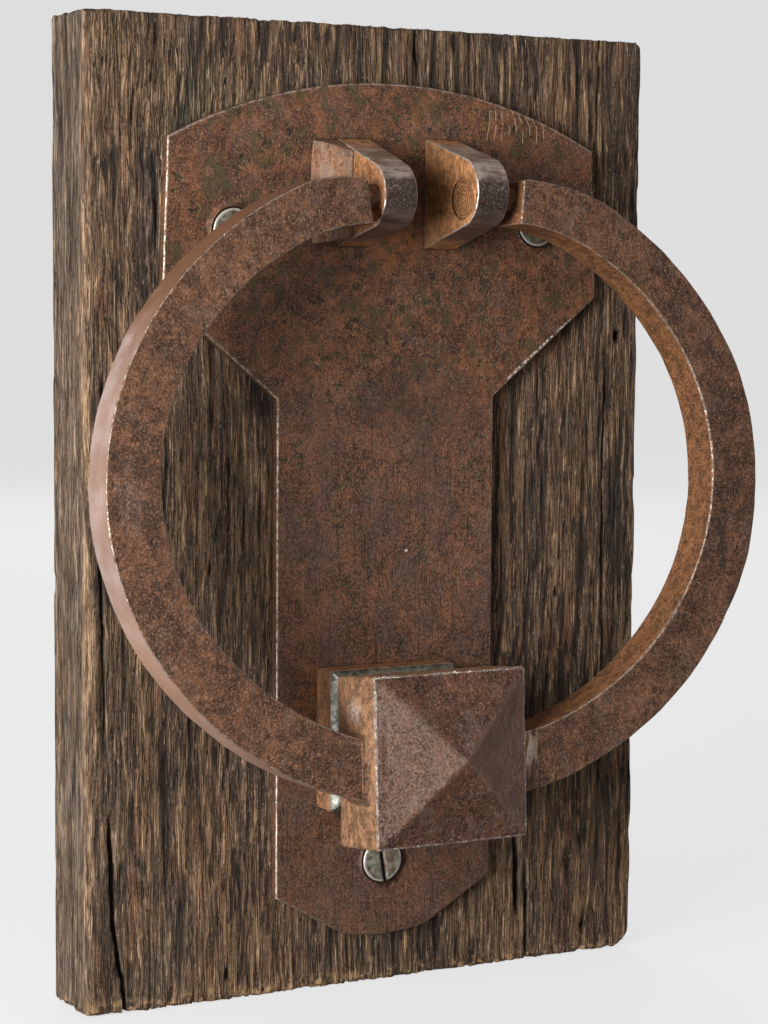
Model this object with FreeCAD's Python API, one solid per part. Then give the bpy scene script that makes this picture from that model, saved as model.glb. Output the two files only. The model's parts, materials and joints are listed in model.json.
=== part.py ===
import FreeCAD, Part
import math
import os

# Ring door knocker on a mounting board.
# Millimetres. +Z is up, +Y points into the door, and the visible faces look along -Y.
# The origin is the centre of the board's back face.

# ---- mounting board ----
board_width = 169.0
board_height = 260.0
board_depth = 22.5
board_edge_ease = 1.0
board_lower_corner_radius = 7.0
board_upper_corner_radius = 3.0

# ---- back plate: wide arched head, sloping shoulders, narrow stem ----
plate_centre_x = 2.0
plate_thickness = 3.0
plate_top_z = 114.6
plate_spring_z = 98.5
plate_shoulder_z = 57.7
plate_neck_z = 30.5
plate_facet_z = -103.2
plate_foot_z = -115.2
plate_bottom_z = -116.5
plate_half_spring = 64.5
plate_half_shoulder = 66.0
plate_half_stem = 33.2
plate_half_foot = 12.8

# ---- hinge lugs ----
hinge_centre_x = 4.3
hinge_z = 83.5
pin_standoff = 20.9
lug_thickness = 9.6
lug_inner_half_gap = 8.4
lug_edge_bevel = 0.5
# Forged by hand, so the left lug (-1) is a little smaller than the right one (+1).
lug_top_z = {-1: 99.6, 1: 100.2}
lug_bottom_z = {-1: 70.8, 1: 70.5}
lug_nose_standoff = {-1: 18.4, 1: 19.6}
lug_nose_z = {-1: 83.9, 1: 85.2}
lug_nose_radius = {-1: 8.6, 1: 9.2}
lug_weld_width = 8.0
lug_weld_rise = 9.6
lug_weld_step = 0.8
lug_weld_sag = 1.6
lug_weld_end_inset = 0.4

# ---- hinge pins: fixed in the arms, turning in the lugs ----
pin_radius = 3.2
pin_running_clearance = 0.05
pin_head_radius = 5.2
pin_head_depth = 1.0
pin_depth_in_arm = 12.0

# ---- ring: two arms between the hinge and the striker boss ----
ring_outer_half_width = 97.0
ring_outer_half_height = 84.6
ring_outer_centre_z = 9.2
ring_inner_half_width = 81.9
ring_inner_half_height = 70.1
ring_inner_centre_z = 10.5
ring_bar_depth = 12.0
ring_back_standoff = 16.0
ring_edge_bevel = 1.1
ring_end_half_gap = 22.5
ring_end_lean_deg = 6.5
# The bar is drawn down towards the hinge: how far out that starts, and the drop at the end.
ring_outer_draw_start = {-1: 42.0, 1: 52.0}
ring_outer_draw_drop = {-1: 4.0, 1: 2.9}
ring_inner_draw_start = {-1: 42.0, 1: 42.0}
ring_inner_draw_drop = {-1: 2.1, 1: 1.4}

# ---- striker boss: square block with a pyramid face ----
boss_centre_x = 0.2
boss_centre_z = -61.8
boss_side = 45.0
boss_rim_ahead_of_ring = 3.5
boss_point_height = 8.0
boss_back_bevel = 0.8
boss_back_drop = 1.5
boss_socket_depth = 9.0
boss_weld_leg = 1.6
boss_weld_slope = 0.8
ground_weld_reach = 6.1
ground_weld_depth = 2.8
ground_weld_lip = 0.56

# ---- strike block under the boss ----
strike_centre_x = -0.3
strike_centre_z = -60.3
strike_side = 38.0
strike_height = 10.6
strike_bevel = 2.2
closed_contact_gap = 0.03

# ---- slotted countersunk wood screws: x, z and slot angle from vertical ----
screw_places = {
    "screw_upper_left": (-43.8, 74.6, 48.0),
    "screw_upper_right": (48.4, 77.8, 80.0),
    "screw_lower": (1.1, -95.8, -9.0),
}
screw_head_radius = 5.9
screw_head_proud = 0.35
screw_head_crown = 0.25
screw_cone_height = 2.9
screw_shank_radius = 2.9
screw_length = 20.0
screw_tip_length = 5.0
screw_tip_radius = 0.6
screw_slot_width = 1.5
screw_slot_depth = 1.5

# The ring is stored slightly open, this many degrees from resting on the strike block.
ring_open_deg = 3.2

# ---- planes worked out from the sizes above ----
board_front_y = -board_depth
plate_front_y = board_front_y - plate_thickness
pin_y = plate_front_y - pin_standoff
ring_back_y = plate_front_y - ring_back_standoff
ring_front_y = ring_back_y - ring_bar_depth
strike_front_y = plate_front_y - strike_height
boss_back_y = strike_front_y - closed_contact_gap
boss_rim_y = ring_front_y - boss_rim_ahead_of_ring

INTO_DOOR = FreeCAD.Vector(0, 1, 0)
TO_RIGHT = FreeCAD.Vector(1, 0, 0)
UP = FreeCAD.Vector(0, 0, 1)


def front_point(x, z, y=0.0):
    """A point given the way it is read on the front view."""
    return FreeCAD.Vector(x, y, z)


def line(start, end):
    return Part.LineSegment(start, end).toShape()


def arc(start, middle, end):
    return Part.Arc(start, middle, end).toShape()


def prism(edges, travel):
    """Solid swept from a closed outline of edges along the travel vector."""
    return Part.Face(Part.Wire(Part.__sortEdges__(edges))).extrude(travel)


def block(low, high):
    """Box between two opposite corners."""
    size = high - low
    return Part.makeBox(size.x, size.y, size.z, low)


def edges_in_plane_y(shape, plane_y):
    """Edges that lie wholly in one plane parallel to the front."""
    return [edge for edge in shape.Edges
            if abs(edge.BoundBox.YMin - plane_y) < 1e-6 and abs(edge.BoundBox.YMax - plane_y) < 1e-6]


def cylinder_along_x(x_low, x_high, radius):
    """Cylinder on the hinge axis."""
    return Part.makeCylinder(radius, x_high - x_low, FreeCAD.Vector(x_low, pin_y, hinge_z), TO_RIGHT)


# ---------------------------------------------------------------- fixed pieces

def corner_arc(centre_x, centre_z, radius, start_deg, end_deg):
    """Arc of a rounded corner in the front view."""
    def on_arc(angle_deg):
        angle = math.radians(angle_deg)
        return front_point(centre_x + radius * math.cos(angle), centre_z + radius * math.sin(angle))
    return arc(on_arc(start_deg), on_arc((start_deg + end_deg) / 2), on_arc(end_deg))


def oak_board():
    """Thick plank, worn round at its two right-hand corners."""
    half_width = board_width / 2
    half_height = board_height / 2
    low, up = board_lower_corner_radius, board_upper_corner_radius
    top_left = front_point(-half_width, half_height)
    bottom_left = front_point(-half_width, -half_height)
    edges = [
        line(top_left, bottom_left),
        line(bottom_left, front_point(half_width - low, -half_height)),
        corner_arc(half_width - low, -half_height + low, low, -90, 0),
        line(front_point(half_width, -half_height + low), front_point(half_width, half_height - up)),
        corner_arc(half_width - up, half_height - up, up, 0, 90),
        line(front_point(half_width - up, half_height), top_left),
    ]
    plank = prism(edges, FreeCAD.Vector(0, board_front_y, 0))
    plank = plank.makeChamfer(board_edge_ease, edges_in_plane_y(plank, board_front_y))
    for place in screw_places.values():
        plank = plank.cut(screw_body(*place))
    return plank


def back_plate():
    """Sheet-iron plate, symmetric about its own centre line."""
    right_side = [
        (plate_half_spring, plate_spring_z),
        (plate_half_shoulder, plate_shoulder_z),
        (plate_half_stem, plate_neck_z),
        (plate_half_stem, plate_facet_z),
        (plate_half_foot, plate_foot_z),
    ]
    right = [front_point(plate_centre_x + x, z) for x, z in right_side]
    left = [front_point(plate_centre_x - x, z) for x, z in right_side]
    crown = front_point(plate_centre_x, plate_top_z)
    foot = front_point(plate_centre_x, plate_bottom_z)
    edges = [arc(left[0], crown, right[0])]
    edges += [line(a, b) for a, b in zip(right, right[1:])]
    edges.append(arc(right[-1], foot, left[-1]))
    edges += [line(a, b) for a, b in zip(left[::-1], left[-2::-1])]
    plate = prism(edges, FreeCAD.Vector(0, -plate_thickness, 0))
    plate.translate(FreeCAD.Vector(0, board_front_y, 0))
    for place in screw_places.values():
        plate = plate.cut(screw_body(*place))
    return plate


def lug_outline(side, x):
    """Side profile of a lug: two converging flanks that run tangent into a round nose."""
    nose_y = plate_front_y - lug_nose_standoff[side]
    nose_z, radius = lug_nose_z[side], lug_nose_radius[side]

    def tangent_point(root_z):
        """Where the flank that starts at root_z touches the nose circle."""
        along_y, along_z = plate_front_y - nose_y, root_z - nose_z
        turn = math.acos(radius / math.hypot(along_y, along_z))
        angle = math.atan2(along_z, along_y) + math.copysign(turn, along_z)
        return FreeCAD.Vector(x, nose_y + radius * math.cos(angle), nose_z + radius * math.sin(angle))

    top_root = FreeCAD.Vector(x, plate_front_y, lug_top_z[side])
    bottom_root = FreeCAD.Vector(x, plate_front_y, lug_bottom_z[side])
    tip = FreeCAD.Vector(x, nose_y - radius, nose_z)
    top_tangent, bottom_tangent = tangent_point(top_root.z), tangent_point(bottom_root.z)
    return [
        line(bottom_root, top_root),
        line(top_root, top_tangent),
        arc(top_tangent, tip, bottom_tangent),
        line(bottom_tangent, bottom_root),
    ]


def lug(side):
    """D-shaped lug with the pin bore; side is -1 for the left one and +1 for the right one."""
    inner_x = hinge_centre_x + side * lug_inner_half_gap
    outer_x = inner_x + side * lug_thickness
    low_x = min(inner_x, outer_x)
    body = prism(lug_outline(side, low_x), TO_RIGHT * lug_thickness)
    rims = [edge for edge in body.Edges
            if edge.BoundBox.XLength < 1e-6 and edge.BoundBox.YMin < plate_front_y - 1.0]
    body = body.makeChamfer(lug_edge_bevel, rims)
    bore = cylinder_along_x(low_x - 1, low_x + lug_thickness + 1, pin_radius + pin_running_clearance)
    return body.cut(bore).cut(pin_head(side, pin_running_clearance * 2))


def lug_weld_left():
    """Weld built up in the corner between the left lug and the plate, then filed to a hollow ramp.

    Its two ends follow the lug's flanks."""
    face_x = hinge_centre_x - lug_inner_half_gap - lug_thickness
    toe_x = face_x - lug_weld_width
    base_z = lug_bottom_z[-1] + lug_weld_end_inset
    height = lug_top_z[-1] - lug_bottom_z[-1] - 2 * lug_weld_end_inset
    corner = FreeCAD.Vector(face_x, plate_front_y, base_z)
    toe = FreeCAD.Vector(toe_x, plate_front_y, base_z)
    step = FreeCAD.Vector(toe_x, plate_front_y - lug_weld_step, base_z)
    crest = FreeCAD.Vector(face_x, plate_front_y - lug_weld_rise, base_z)
    chord = crest - step
    hollow = (crest + step) / 2 + FreeCAD.Vector(-chord.y, chord.x, 0) * (-lug_weld_sag / chord.Length)
    edges = [line(corner, toe), line(toe, step), arc(step, hollow, crest), line(crest, corner)]
    flanks = prism(lug_outline(-1, toe_x - 1), TO_RIGHT * (face_x - toe_x + 1))
    return prism(edges, UP * height).common(flanks)


def strike_block():
    """Square block that the boss knocks on, with bevelled front edges."""
    half = strike_side / 2
    body = block(FreeCAD.Vector(strike_centre_x - half, strike_front_y, strike_centre_z - half),
                 FreeCAD.Vector(strike_centre_x + half, plate_front_y, strike_centre_z + half))
    return body.makeChamfer(strike_bevel, edges_in_plane_y(body, strike_front_y))


def screw_body(x, z, slot_deg):
    """Countersunk wood screw without its slot, from the crowned head to the tip."""
    head_y = plate_front_y - screw_head_proud
    cone_end_y = plate_front_y + screw_cone_height
    tip_start_y = head_y + screw_length - screw_tip_length
    tip_y = head_y + screw_length

    def at(radius, y):
        return FreeCAD.Vector(radius, y, 0)

    crown_middle = at(screw_head_radius * 0.55, head_y - screw_head_crown * 0.72)
    edges = [
        arc(at(0, head_y - screw_head_crown), crown_middle, at(screw_head_radius, head_y)),
        line(at(screw_head_radius, head_y), at(screw_head_radius, plate_front_y)),
        line(at(screw_head_radius, plate_front_y), at(screw_shank_radius, cone_end_y)),
        line(at(screw_shank_radius, cone_end_y), at(screw_shank_radius, tip_start_y)),
        line(at(screw_shank_radius, tip_start_y), at(screw_tip_radius, tip_y)),
        line(at(screw_tip_radius, tip_y), at(0, tip_y)),
        line(at(0, tip_y), at(0, head_y - screw_head_crown)),
    ]
    body = Part.Face(Part.Wire(edges)).revolve(FreeCAD.Vector(0, 0, 0), INTO_DOOR, 360)
    body.rotate(FreeCAD.Vector(0, 0, 0), INTO_DOOR, slot_deg)
    body.translate(FreeCAD.Vector(x, 0, z))
    return body


def screw(x, z, slot_deg):
    """The screw with its driving slot; a slot at 0 degrees stands upright."""
    head_y = plate_front_y - screw_head_proud - screw_head_crown
    reach = screw_head_radius + 1
    slot = block(FreeCAD.Vector(-screw_slot_width / 2, head_y - 1, -reach),
                 FreeCAD.Vector(screw_slot_width / 2, head_y + screw_slot_depth, reach))
    slot.rotate(FreeCAD.Vector(0, 0, 0), INTO_DOOR, slot_deg)
    slot.translate(FreeCAD.Vector(x, 0, z))
    return screw_body(x, z, slot_deg).cut(slot)


# ---------------------------------------------------------------- swinging pieces

class Oval:
    """One edge of the ring, seen from the front."""

    def __init__(self, half_width, half_height, centre_z):
        self.half_width = half_width
        self.half_height = half_height
        self.centre_z = centre_z

    def angle_at(self, x, is_top):
        """Parameter of the point at x on the upper or the lower half, from 0 to 360 degrees."""
        angle = math.acos((x - hinge_centre_x) / self.half_width)
        return angle if is_top else 2 * math.pi - angle

    def point(self, angle):
        return front_point(hinge_centre_x + self.half_width * math.cos(angle),
                           self.centre_z + self.half_height * math.sin(angle), ring_front_y)

    def side_edges(self, side, bottom_x, draw_start, drop):
        """Edges from the drawn-down hinge end round to the boss end, and their two end points."""
        start_x = hinge_centre_x + side * draw_start
        top, bottom = self.angle_at(start_x, True), self.angle_at(bottom_x, False)
        if side > 0:
            top += 2 * math.pi
        centre = front_point(hinge_centre_x, self.centre_z, ring_front_y)
        curve = Part.Ellipse(centre + TO_RIGHT * self.half_width, centre + UP * self.half_height, centre)
        oval_edge = Part.ArcOfEllipse(curve, min(top, bottom), max(top, bottom)).toShape()

        start = self.point(top)
        run = FreeCAD.Vector(self.half_width * math.sin(top), 0, -self.half_height * math.cos(top)) * -side
        run.normalize()
        square_x = hinge_centre_x + side * ring_end_half_gap
        end_z = self.point(self.angle_at(square_x, True)).z - drop
        lean = math.tan(math.radians(ring_end_lean_deg))
        end = front_point(square_x + side * lean * (end_z - hinge_z), end_z, ring_front_y)
        middle = tangent_arc_middle(start, run, end)
        return [oval_edge, arc(start, middle, end)], end, self.point(bottom)


def tangent_arc_middle(start, run, end):
    """Middle point of the circular arc that leaves start along run and arrives at end."""
    chord = end - start
    half_turn = math.acos(max(-1.0, min(1.0, run.dot(chord) / chord.Length)))
    across = run * chord.Length - chord * run.dot(chord) / chord.Length
    across.normalize()
    return (start + end) / 2 + across * (chord.Length / 2 * math.tan(half_turn / 2))


ring_outer = Oval(ring_outer_half_width, ring_outer_half_height, ring_outer_centre_z)
ring_inner = Oval(ring_inner_half_width, ring_inner_half_height, ring_inner_centre_z)


def ring_bar(side):
    """Curved bar from its hinge end to its end in the boss socket."""
    socket_x = boss_centre_x + side * (boss_side / 2 - boss_socket_depth)
    outer, outer_top, outer_bottom = ring_outer.side_edges(
        side, socket_x, ring_outer_draw_start[side], ring_outer_draw_drop[side])
    inner, inner_top, inner_bottom = ring_inner.side_edges(
        side, socket_x, ring_inner_draw_start[side], ring_inner_draw_drop[side])
    edges = outer + inner + [line(outer_bottom, inner_bottom), line(inner_top, outer_top)]
    bar = prism(edges, INTO_DOOR * ring_bar_depth)
    rims = edges_in_plane_y(bar, ring_front_y) + edges_in_plane_y(bar, ring_back_y)
    long_rims = [edge for edge in rims if edge.BoundBox.XLength > ring_bar_depth]
    return bar.makeChamfer(ring_edge_bevel, long_rims)


def ring_arm(side):
    """The bar, bored for its hinge pin; the right one is also cut away for its ground weld."""
    arm = ring_bar(side).cut(hinge_pin(side))
    return arm if side < 0 else arm.cut(ground_weld_space())


def pin_head(side, growth=0.0):
    """Flared end of a pin, flush with the inner face of its lug."""
    face_x = hinge_centre_x + side * lug_inner_half_gap
    centre = FreeCAD.Vector(face_x, pin_y, hinge_z)
    return Part.makeCone(pin_head_radius + growth, pin_radius, pin_head_depth + growth, centre, TO_RIGHT * side)


def hinge_pin(side):
    """Round pin from the inner face of the lug, through it and into the arm."""
    start_x = hinge_centre_x + side * lug_inner_half_gap
    end_x = hinge_centre_x + side * (ring_end_half_gap + pin_depth_in_arm)
    shank = cylinder_along_x(min(start_x, end_x), max(start_x, end_x), pin_radius)
    return shank.fuse(pin_head(side)).removeSplitter()


def striker_boss():
    """Square block with a four-sided point, socketed on both sides for the arms.

    Its back sits a little lower than its front."""
    half = boss_side / 2
    corners = [front_point(boss_centre_x + sx * half, boss_centre_z + sz * half, boss_rim_y)
               for sx, sz in ((-1, -1), (1, -1), (1, 1), (-1, 1))]
    rim = [line(a, b) for a, b in zip(corners, corners[1:] + corners[:1])]
    body = prism(rim, FreeCAD.Vector(0, boss_back_y - boss_rim_y, -boss_back_drop))
    body = body.makeChamfer(boss_back_bevel, edges_in_plane_y(body, boss_back_y))
    apex = front_point(boss_centre_x, boss_centre_z, boss_rim_y - boss_point_height)
    facets = [Part.Face(Part.makePolygon([a, b, apex, a])) for a, b in zip(corners, corners[1:] + corners[:1])]
    base = Part.Face(Part.makePolygon(corners + corners[:1]))
    point = Part.Solid(Part.makeShell(facets + [base]))
    body = body.fuse(point).removeSplitter()
    return body.cut(ring_bar(-1)).cut(ring_bar(1))


def weld_bead_left():
    """Fillet weld that runs round the left arm where it enters the boss."""
    leg = boss_weld_leg
    face_x = boss_centre_x - boss_side / 2
    outer_x = face_x - leg
    lowest_z = min(ring_outer.point(ring_outer.angle_at(x, False)).z for x in (face_x, outer_x))
    highest_z = max(ring_inner.point(ring_inner.angle_at(x, False)).z for x in (face_x, outer_x))
    collar = block(FreeCAD.Vector(outer_x, ring_front_y - leg, lowest_z - leg),
                   FreeCAD.Vector(face_x, ring_back_y + leg, highest_z + leg))
    outer_edges = [edge for edge in collar.Edges
                   if edge.BoundBox.XLength < 1e-6 and abs(edge.BoundBox.XMin - outer_x) < 1e-6]
    return collar.makeChamfer(leg * boss_weld_slope, outer_edges).cut(ring_bar(-1))


def ground_weld_corner(y):
    """Lowest end of the corner line between the boss's right side and the arm's front."""
    return front_point(boss_centre_x + boss_side / 2, boss_centre_z - boss_side, y)


def ground_weld_space():
    """Room cut out of the right arm's front beside the boss."""
    corner = ground_weld_corner(ring_front_y)
    return block(corner - INTO_DOOR, corner + FreeCAD.Vector(ground_weld_reach, ground_weld_depth, 2 * boss_side))


def weld_bead_right():
    """Weld in the front of the right arm, ground to a slope that falls towards the boss."""
    deep = ground_weld_corner(ring_front_y + ground_weld_depth)
    lip = deep - INTO_DOOR * ground_weld_lip
    far = deep + TO_RIGHT * ground_weld_reach
    front = far - INTO_DOOR * ground_weld_depth
    edges = [line(deep, far), line(far, front), line(front, lip), line(lip, deep)]
    return prism(edges, UP * 2 * boss_side).common(ring_bar(1))


def open_ring(shape):
    """Turn a swinging piece from closed to the angle that it is stored at."""
    turned = shape.copy()
    turned.rotate(FreeCAD.Vector(0, pin_y, hinge_z), FreeCAD.Vector(-1, 0, 0), ring_open_deg)
    return turned


def all_nodes():
    nodes = {
        "oak_board": oak_board(),
        "back_plate": back_plate(),
        "lug_left": lug(-1),
        "lug_right": lug(1),
        "lug_weld_left": lug_weld_left(),
        "strike_block": strike_block(),
        "ring_arm_left": open_ring(ring_arm(-1)),
        "ring_arm_right": open_ring(ring_arm(1)),
        "striker_boss": open_ring(striker_boss()),
        "hinge_pin_left": open_ring(hinge_pin(-1)),
        "hinge_pin_right": open_ring(hinge_pin(1)),
        "weld_bead_left": open_ring(weld_bead_left()),
        "weld_bead_right": open_ring(weld_bead_right()),
    }
    for name, place in screw_places.items():
        nodes[name] = screw(*place)
    return nodes


os.makedirs("parts", exist_ok=True)
for name, shape in all_nodes().items():
    assert shape.isValid(), name
    assert len(shape.Solids) == 1, name
    shape.exportStep(os.path.join("parts", name + ".step"))
    print(name, round(shape.Volume, 1))
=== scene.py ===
import json
import math

import bpy
import numpy as np
from mathutils import Matrix, Vector
from mathutils.geometry import delaunay_2d_cdt


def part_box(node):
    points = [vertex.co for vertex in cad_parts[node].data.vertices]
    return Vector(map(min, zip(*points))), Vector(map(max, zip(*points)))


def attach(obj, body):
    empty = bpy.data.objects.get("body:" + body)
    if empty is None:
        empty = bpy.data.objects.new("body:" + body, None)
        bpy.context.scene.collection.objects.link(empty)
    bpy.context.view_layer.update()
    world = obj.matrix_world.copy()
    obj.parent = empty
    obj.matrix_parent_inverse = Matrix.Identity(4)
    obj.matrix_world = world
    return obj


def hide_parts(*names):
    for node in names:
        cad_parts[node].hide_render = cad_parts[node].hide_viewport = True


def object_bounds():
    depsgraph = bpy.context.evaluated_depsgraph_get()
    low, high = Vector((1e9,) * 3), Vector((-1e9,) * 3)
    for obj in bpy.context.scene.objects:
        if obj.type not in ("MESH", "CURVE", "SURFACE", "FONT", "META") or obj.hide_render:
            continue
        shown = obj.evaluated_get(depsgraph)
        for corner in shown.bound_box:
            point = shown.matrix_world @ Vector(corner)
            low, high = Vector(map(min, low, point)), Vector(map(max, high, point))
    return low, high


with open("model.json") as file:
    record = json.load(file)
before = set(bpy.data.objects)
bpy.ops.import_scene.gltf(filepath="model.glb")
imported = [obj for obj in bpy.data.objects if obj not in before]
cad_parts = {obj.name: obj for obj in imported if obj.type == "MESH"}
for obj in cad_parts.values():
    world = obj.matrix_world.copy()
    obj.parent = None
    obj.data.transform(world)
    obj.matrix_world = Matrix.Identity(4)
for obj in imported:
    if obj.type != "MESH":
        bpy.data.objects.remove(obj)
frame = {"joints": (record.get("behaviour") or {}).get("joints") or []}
cad_low, cad_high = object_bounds()

# The row frame: metres, +Z up, +Y into the door, visible faces towards -Y. Shapes below are in millimetres.
MM = 0.001
PLATE_BODY, RING_BODY = "mounted_plate", "knocker_ring"
JOINT = frame["joints"][0]
PIVOT = np.array(JOINT["pos_m"]) / MM
PIN_Y, HINGE_Z, HINGE_X = PIVOT[1], PIVOT[2], PIVOT[0]
OPEN_ANGLE = math.radians(-JOINT["range_deg"][0])


def cad_box(node):
    """Lowest and highest corner of a CAD node, in millimetres."""
    low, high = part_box(node)
    return np.array(low) / MM, np.array(high) / MM


# ------------------------------------------------------------------ noise for shapes

def lattice(ix, iy, iz, seed):
    """A fixed pseudo-random number from -1 to 1 for each whole-number grid point."""
    h = (ix * 374761393 + iy * 668265263 + iz * 1440662683 + seed * 974711) & 0xFFFFFFFF
    h = ((h ^ (h >> 13)) * 1274126177) & 0xFFFFFFFF
    h = ((h ^ (h >> 15)) * 2246822519) & 0xFFFFFFFF
    return ((h ^ (h >> 16)) & 0xFFFF) / 32767.5 - 1.0


def noise(points, seed=0):
    """Smooth value noise from -1 to 1 at each row of points."""
    base = np.floor(points).astype(np.int64)
    part = points - base
    part = part * part * part * (part * (part * 6 - 15) + 10)
    total = np.zeros(len(points))
    for corner in range(8):
        step = [(corner >> k) & 1 for k in range(3)]
        weight = np.ones(len(points))
        for k in range(3):
            weight = weight * (part[:, k] if step[k] else 1 - part[:, k])
        total += weight * lattice(base[:, 0] + step[0], base[:, 1] + step[1], base[:, 2] + step[2], seed)
    return total


def layered(points, octaves, seed=0, gain=0.5):
    """Several octaves of noise, still about -1 to 1."""
    total, size, reach = np.zeros(len(points)), 1.0, 0.0
    for k in range(octaves):
        total += size * noise(points * 2.0 ** k + 17.3 * k, seed + k)
        reach += size
        size *= gain
    return total / reach


def smooth(x, low, high):
    """Smooth step from 0 at low to 1 at high."""
    t = np.clip((x - low) / (high - low), 0, 1)
    return t * t * (3 - 2 * t)


# ------------------------------------------------------------------ mesh tools

def make_piece(name, points, faces, body, node, marks=None):
    """Mesh object from points in millimetres, riding on a CAD body and standing for a CAD node."""
    mesh = bpy.data.meshes.new(name)
    mesh.from_pydata((np.asarray(points) * MM).tolist(), [], faces)
    mesh.polygons.foreach_set("use_smooth", [True] * len(mesh.polygons))
    for mark, values in (marks or {}).items():
        layer = mesh.attributes.new(mark, "FLOAT", "POINT")
        layer.data.foreach_set("value", np.asarray(values, np.float32))
    mesh.update()
    piece = bpy.data.objects.new(name, mesh)
    bpy.context.scene.collection.objects.link(piece)
    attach(piece, body)
    if node:
        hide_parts(node)
    return piece


def vertex_normals(points, faces):
    """Unit normal at each point of a mesh in millimetres."""
    mesh = bpy.data.meshes.new("scratch")
    mesh.from_pydata(np.asarray(points).tolist(), [], faces)
    found = np.zeros(len(points) * 3, np.float32)
    mesh.vertices.foreach_get("normal", found)
    bpy.data.meshes.remove(mesh)
    return found.reshape(-1, 3).astype(float)


def inset(loop, distance):
    """A closed outline moved inwards by a distance; outlines run anticlockwise."""
    before, after = np.roll(loop, 1, 0), np.roll(loop, -1, 0)
    a, b = loop - before, after - loop
    a /= np.linalg.norm(a, axis=1)[:, None]
    b /= np.linalg.norm(b, axis=1)[:, None]
    na, nb = np.stack([-a[:, 1], a[:, 0]], 1), np.stack([-b[:, 1], b[:, 0]], 1)
    middle = na + nb
    middle /= np.linalg.norm(middle, axis=1)[:, None]
    reach = 1 / np.clip((middle * na).sum(1), 0.6, 1)
    return loop + middle * (distance * reach)[:, None]


def inside(points, loop):
    """Which points lie inside a closed outline."""
    x, y = points[:, 0][:, None], points[:, 1][:, None]
    x0, y0 = loop[:, 0], loop[:, 1]
    x1, y1 = np.roll(x0, -1), np.roll(y0, -1)
    crosses = (y0 > y) != (y1 > y)
    at = (x1 - x0) * (y - y0) / np.where(y1 == y0, 1e-12, y1 - y0) + x0
    return ((crosses & (x < at)).sum(1) % 2) == 1


def near_loop(points, loop, distance):
    """Which points lie within a distance of an outline's own points."""
    found = np.zeros(len(points), bool)
    for start in range(0, len(loop), 64):
        part = loop[start:start + 64]
        gap = ((points[:, None, :] - part[None]) ** 2).sum(2).min(1)
        found |= gap < distance ** 2
    return found


def fill(outer, holes, spacing, seams=None):
    """Triangles that fill an outline with holes, over a grid of inner points and the points of any seams.

    Returns the inner points and the faces, which count the outer loop, the holes, then the inner points."""
    low, high = outer.min(0), outer.max(0)
    xs = np.arange(low[0] + spacing / 2, high[0], spacing)
    ys = np.arange(low[1] + spacing / 2, high[1], spacing)
    grid = np.stack(np.meshgrid(xs, ys), -1).reshape(-1, 2)
    grid[:, 0] += np.where(np.round((grid[:, 1] - low[1]) / spacing - 0.5) % 2, 0.25, -0.25) * spacing
    keep = inside(grid, outer) & ~near_loop(grid, outer, spacing * 0.6)
    for hole in holes:
        keep &= ~inside(grid, hole) & ~near_loop(grid, hole, spacing * 0.6)
    if seams is not None:
        keep &= ~near_loop(grid, seams, spacing * 0.55)
    grid = grid[keep]
    if seams is not None:
        grid = np.concatenate([grid, seams])
    loops, start, edges = [outer] + list(holes), 0, []
    for loop in loops:
        count = len(loop)
        edges += [(start + k, start + (k + 1) % count) for k in range(count)]
        start += count
    every = np.concatenate(loops + [grid])
    _, _, faces, origin, _, _ = delaunay_2d_cdt([Vector(p) for p in every], edges, [], 0, 1e-7)
    faces = np.array([[origin[k][0] for k in face] for face in faces])
    middle = every[faces].mean(1)
    good = inside(middle, outer)
    for hole in holes:
        good &= ~inside(middle, hole)
    return grid, faces[good]


def wall_faces(starts, count, turned):
    """Quads between rings of count points; turned faces look the other way."""
    faces = []
    for a, b in zip(starts, starts[1:]):
        for k in range(count):
            n = (k + 1) % count
            face = (a + k, a + n, b + n, b + k)
            faces.append(face[::-1] if turned else face)
    return faces


def solid(outer_rows, hole_rows=(), spacing=2.0, top=None, back_spacing=None, seams=None):
    """Closed mesh from stacked outlines: each row is (outline, height, mark); the last row is the front cap.

    top, if given, lifts the inner points of the front cap, which runs through the points of any seams.
    Returns points (u, v, w), faces and the row marks."""
    points, marks, faces = [], [], []
    first, last = [], []
    for rows in [outer_rows, *hole_rows]:
        starts = []
        for loop, height, mark in rows:
            starts.append(len(points))
            heights = np.broadcast_to(height, len(loop))
            points += [(p[0], p[1], h) for p, h in zip(loop, heights)]
            marks += list(np.broadcast_to(mark, len(loop)))
        faces += wall_faces(starts, len(rows[0][0]), rows is not outer_rows)
        first.append((starts[0], rows[0][0]))
        last.append((starts[-1], rows[-1][0]))
    for ends, is_top in ((first, False), (last, True)):
        step = spacing if is_top else (back_spacing or spacing)
        grid, cap = fill(ends[0][1], [loop for _, loop in ends[1:]], step, seams if is_top else None)
        index = np.concatenate([start + np.arange(len(loop)) for start, loop in ends]
                               + [len(points) + np.arange(len(grid))])
        level = np.mean([points[start][2] for start, _ in ends])
        heights = top(grid) if (is_top and top) else np.full(len(grid), level)
        points += [(p[0], p[1], h) for p, h in zip(grid, heights)]
        marks += [0.0] * len(grid)
        cap = index[cap]
        faces += [tuple(f) if is_top else tuple(f[::-1]) for f in cap.tolist()]
    return np.array(points), faces, np.array(marks, float)


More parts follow.
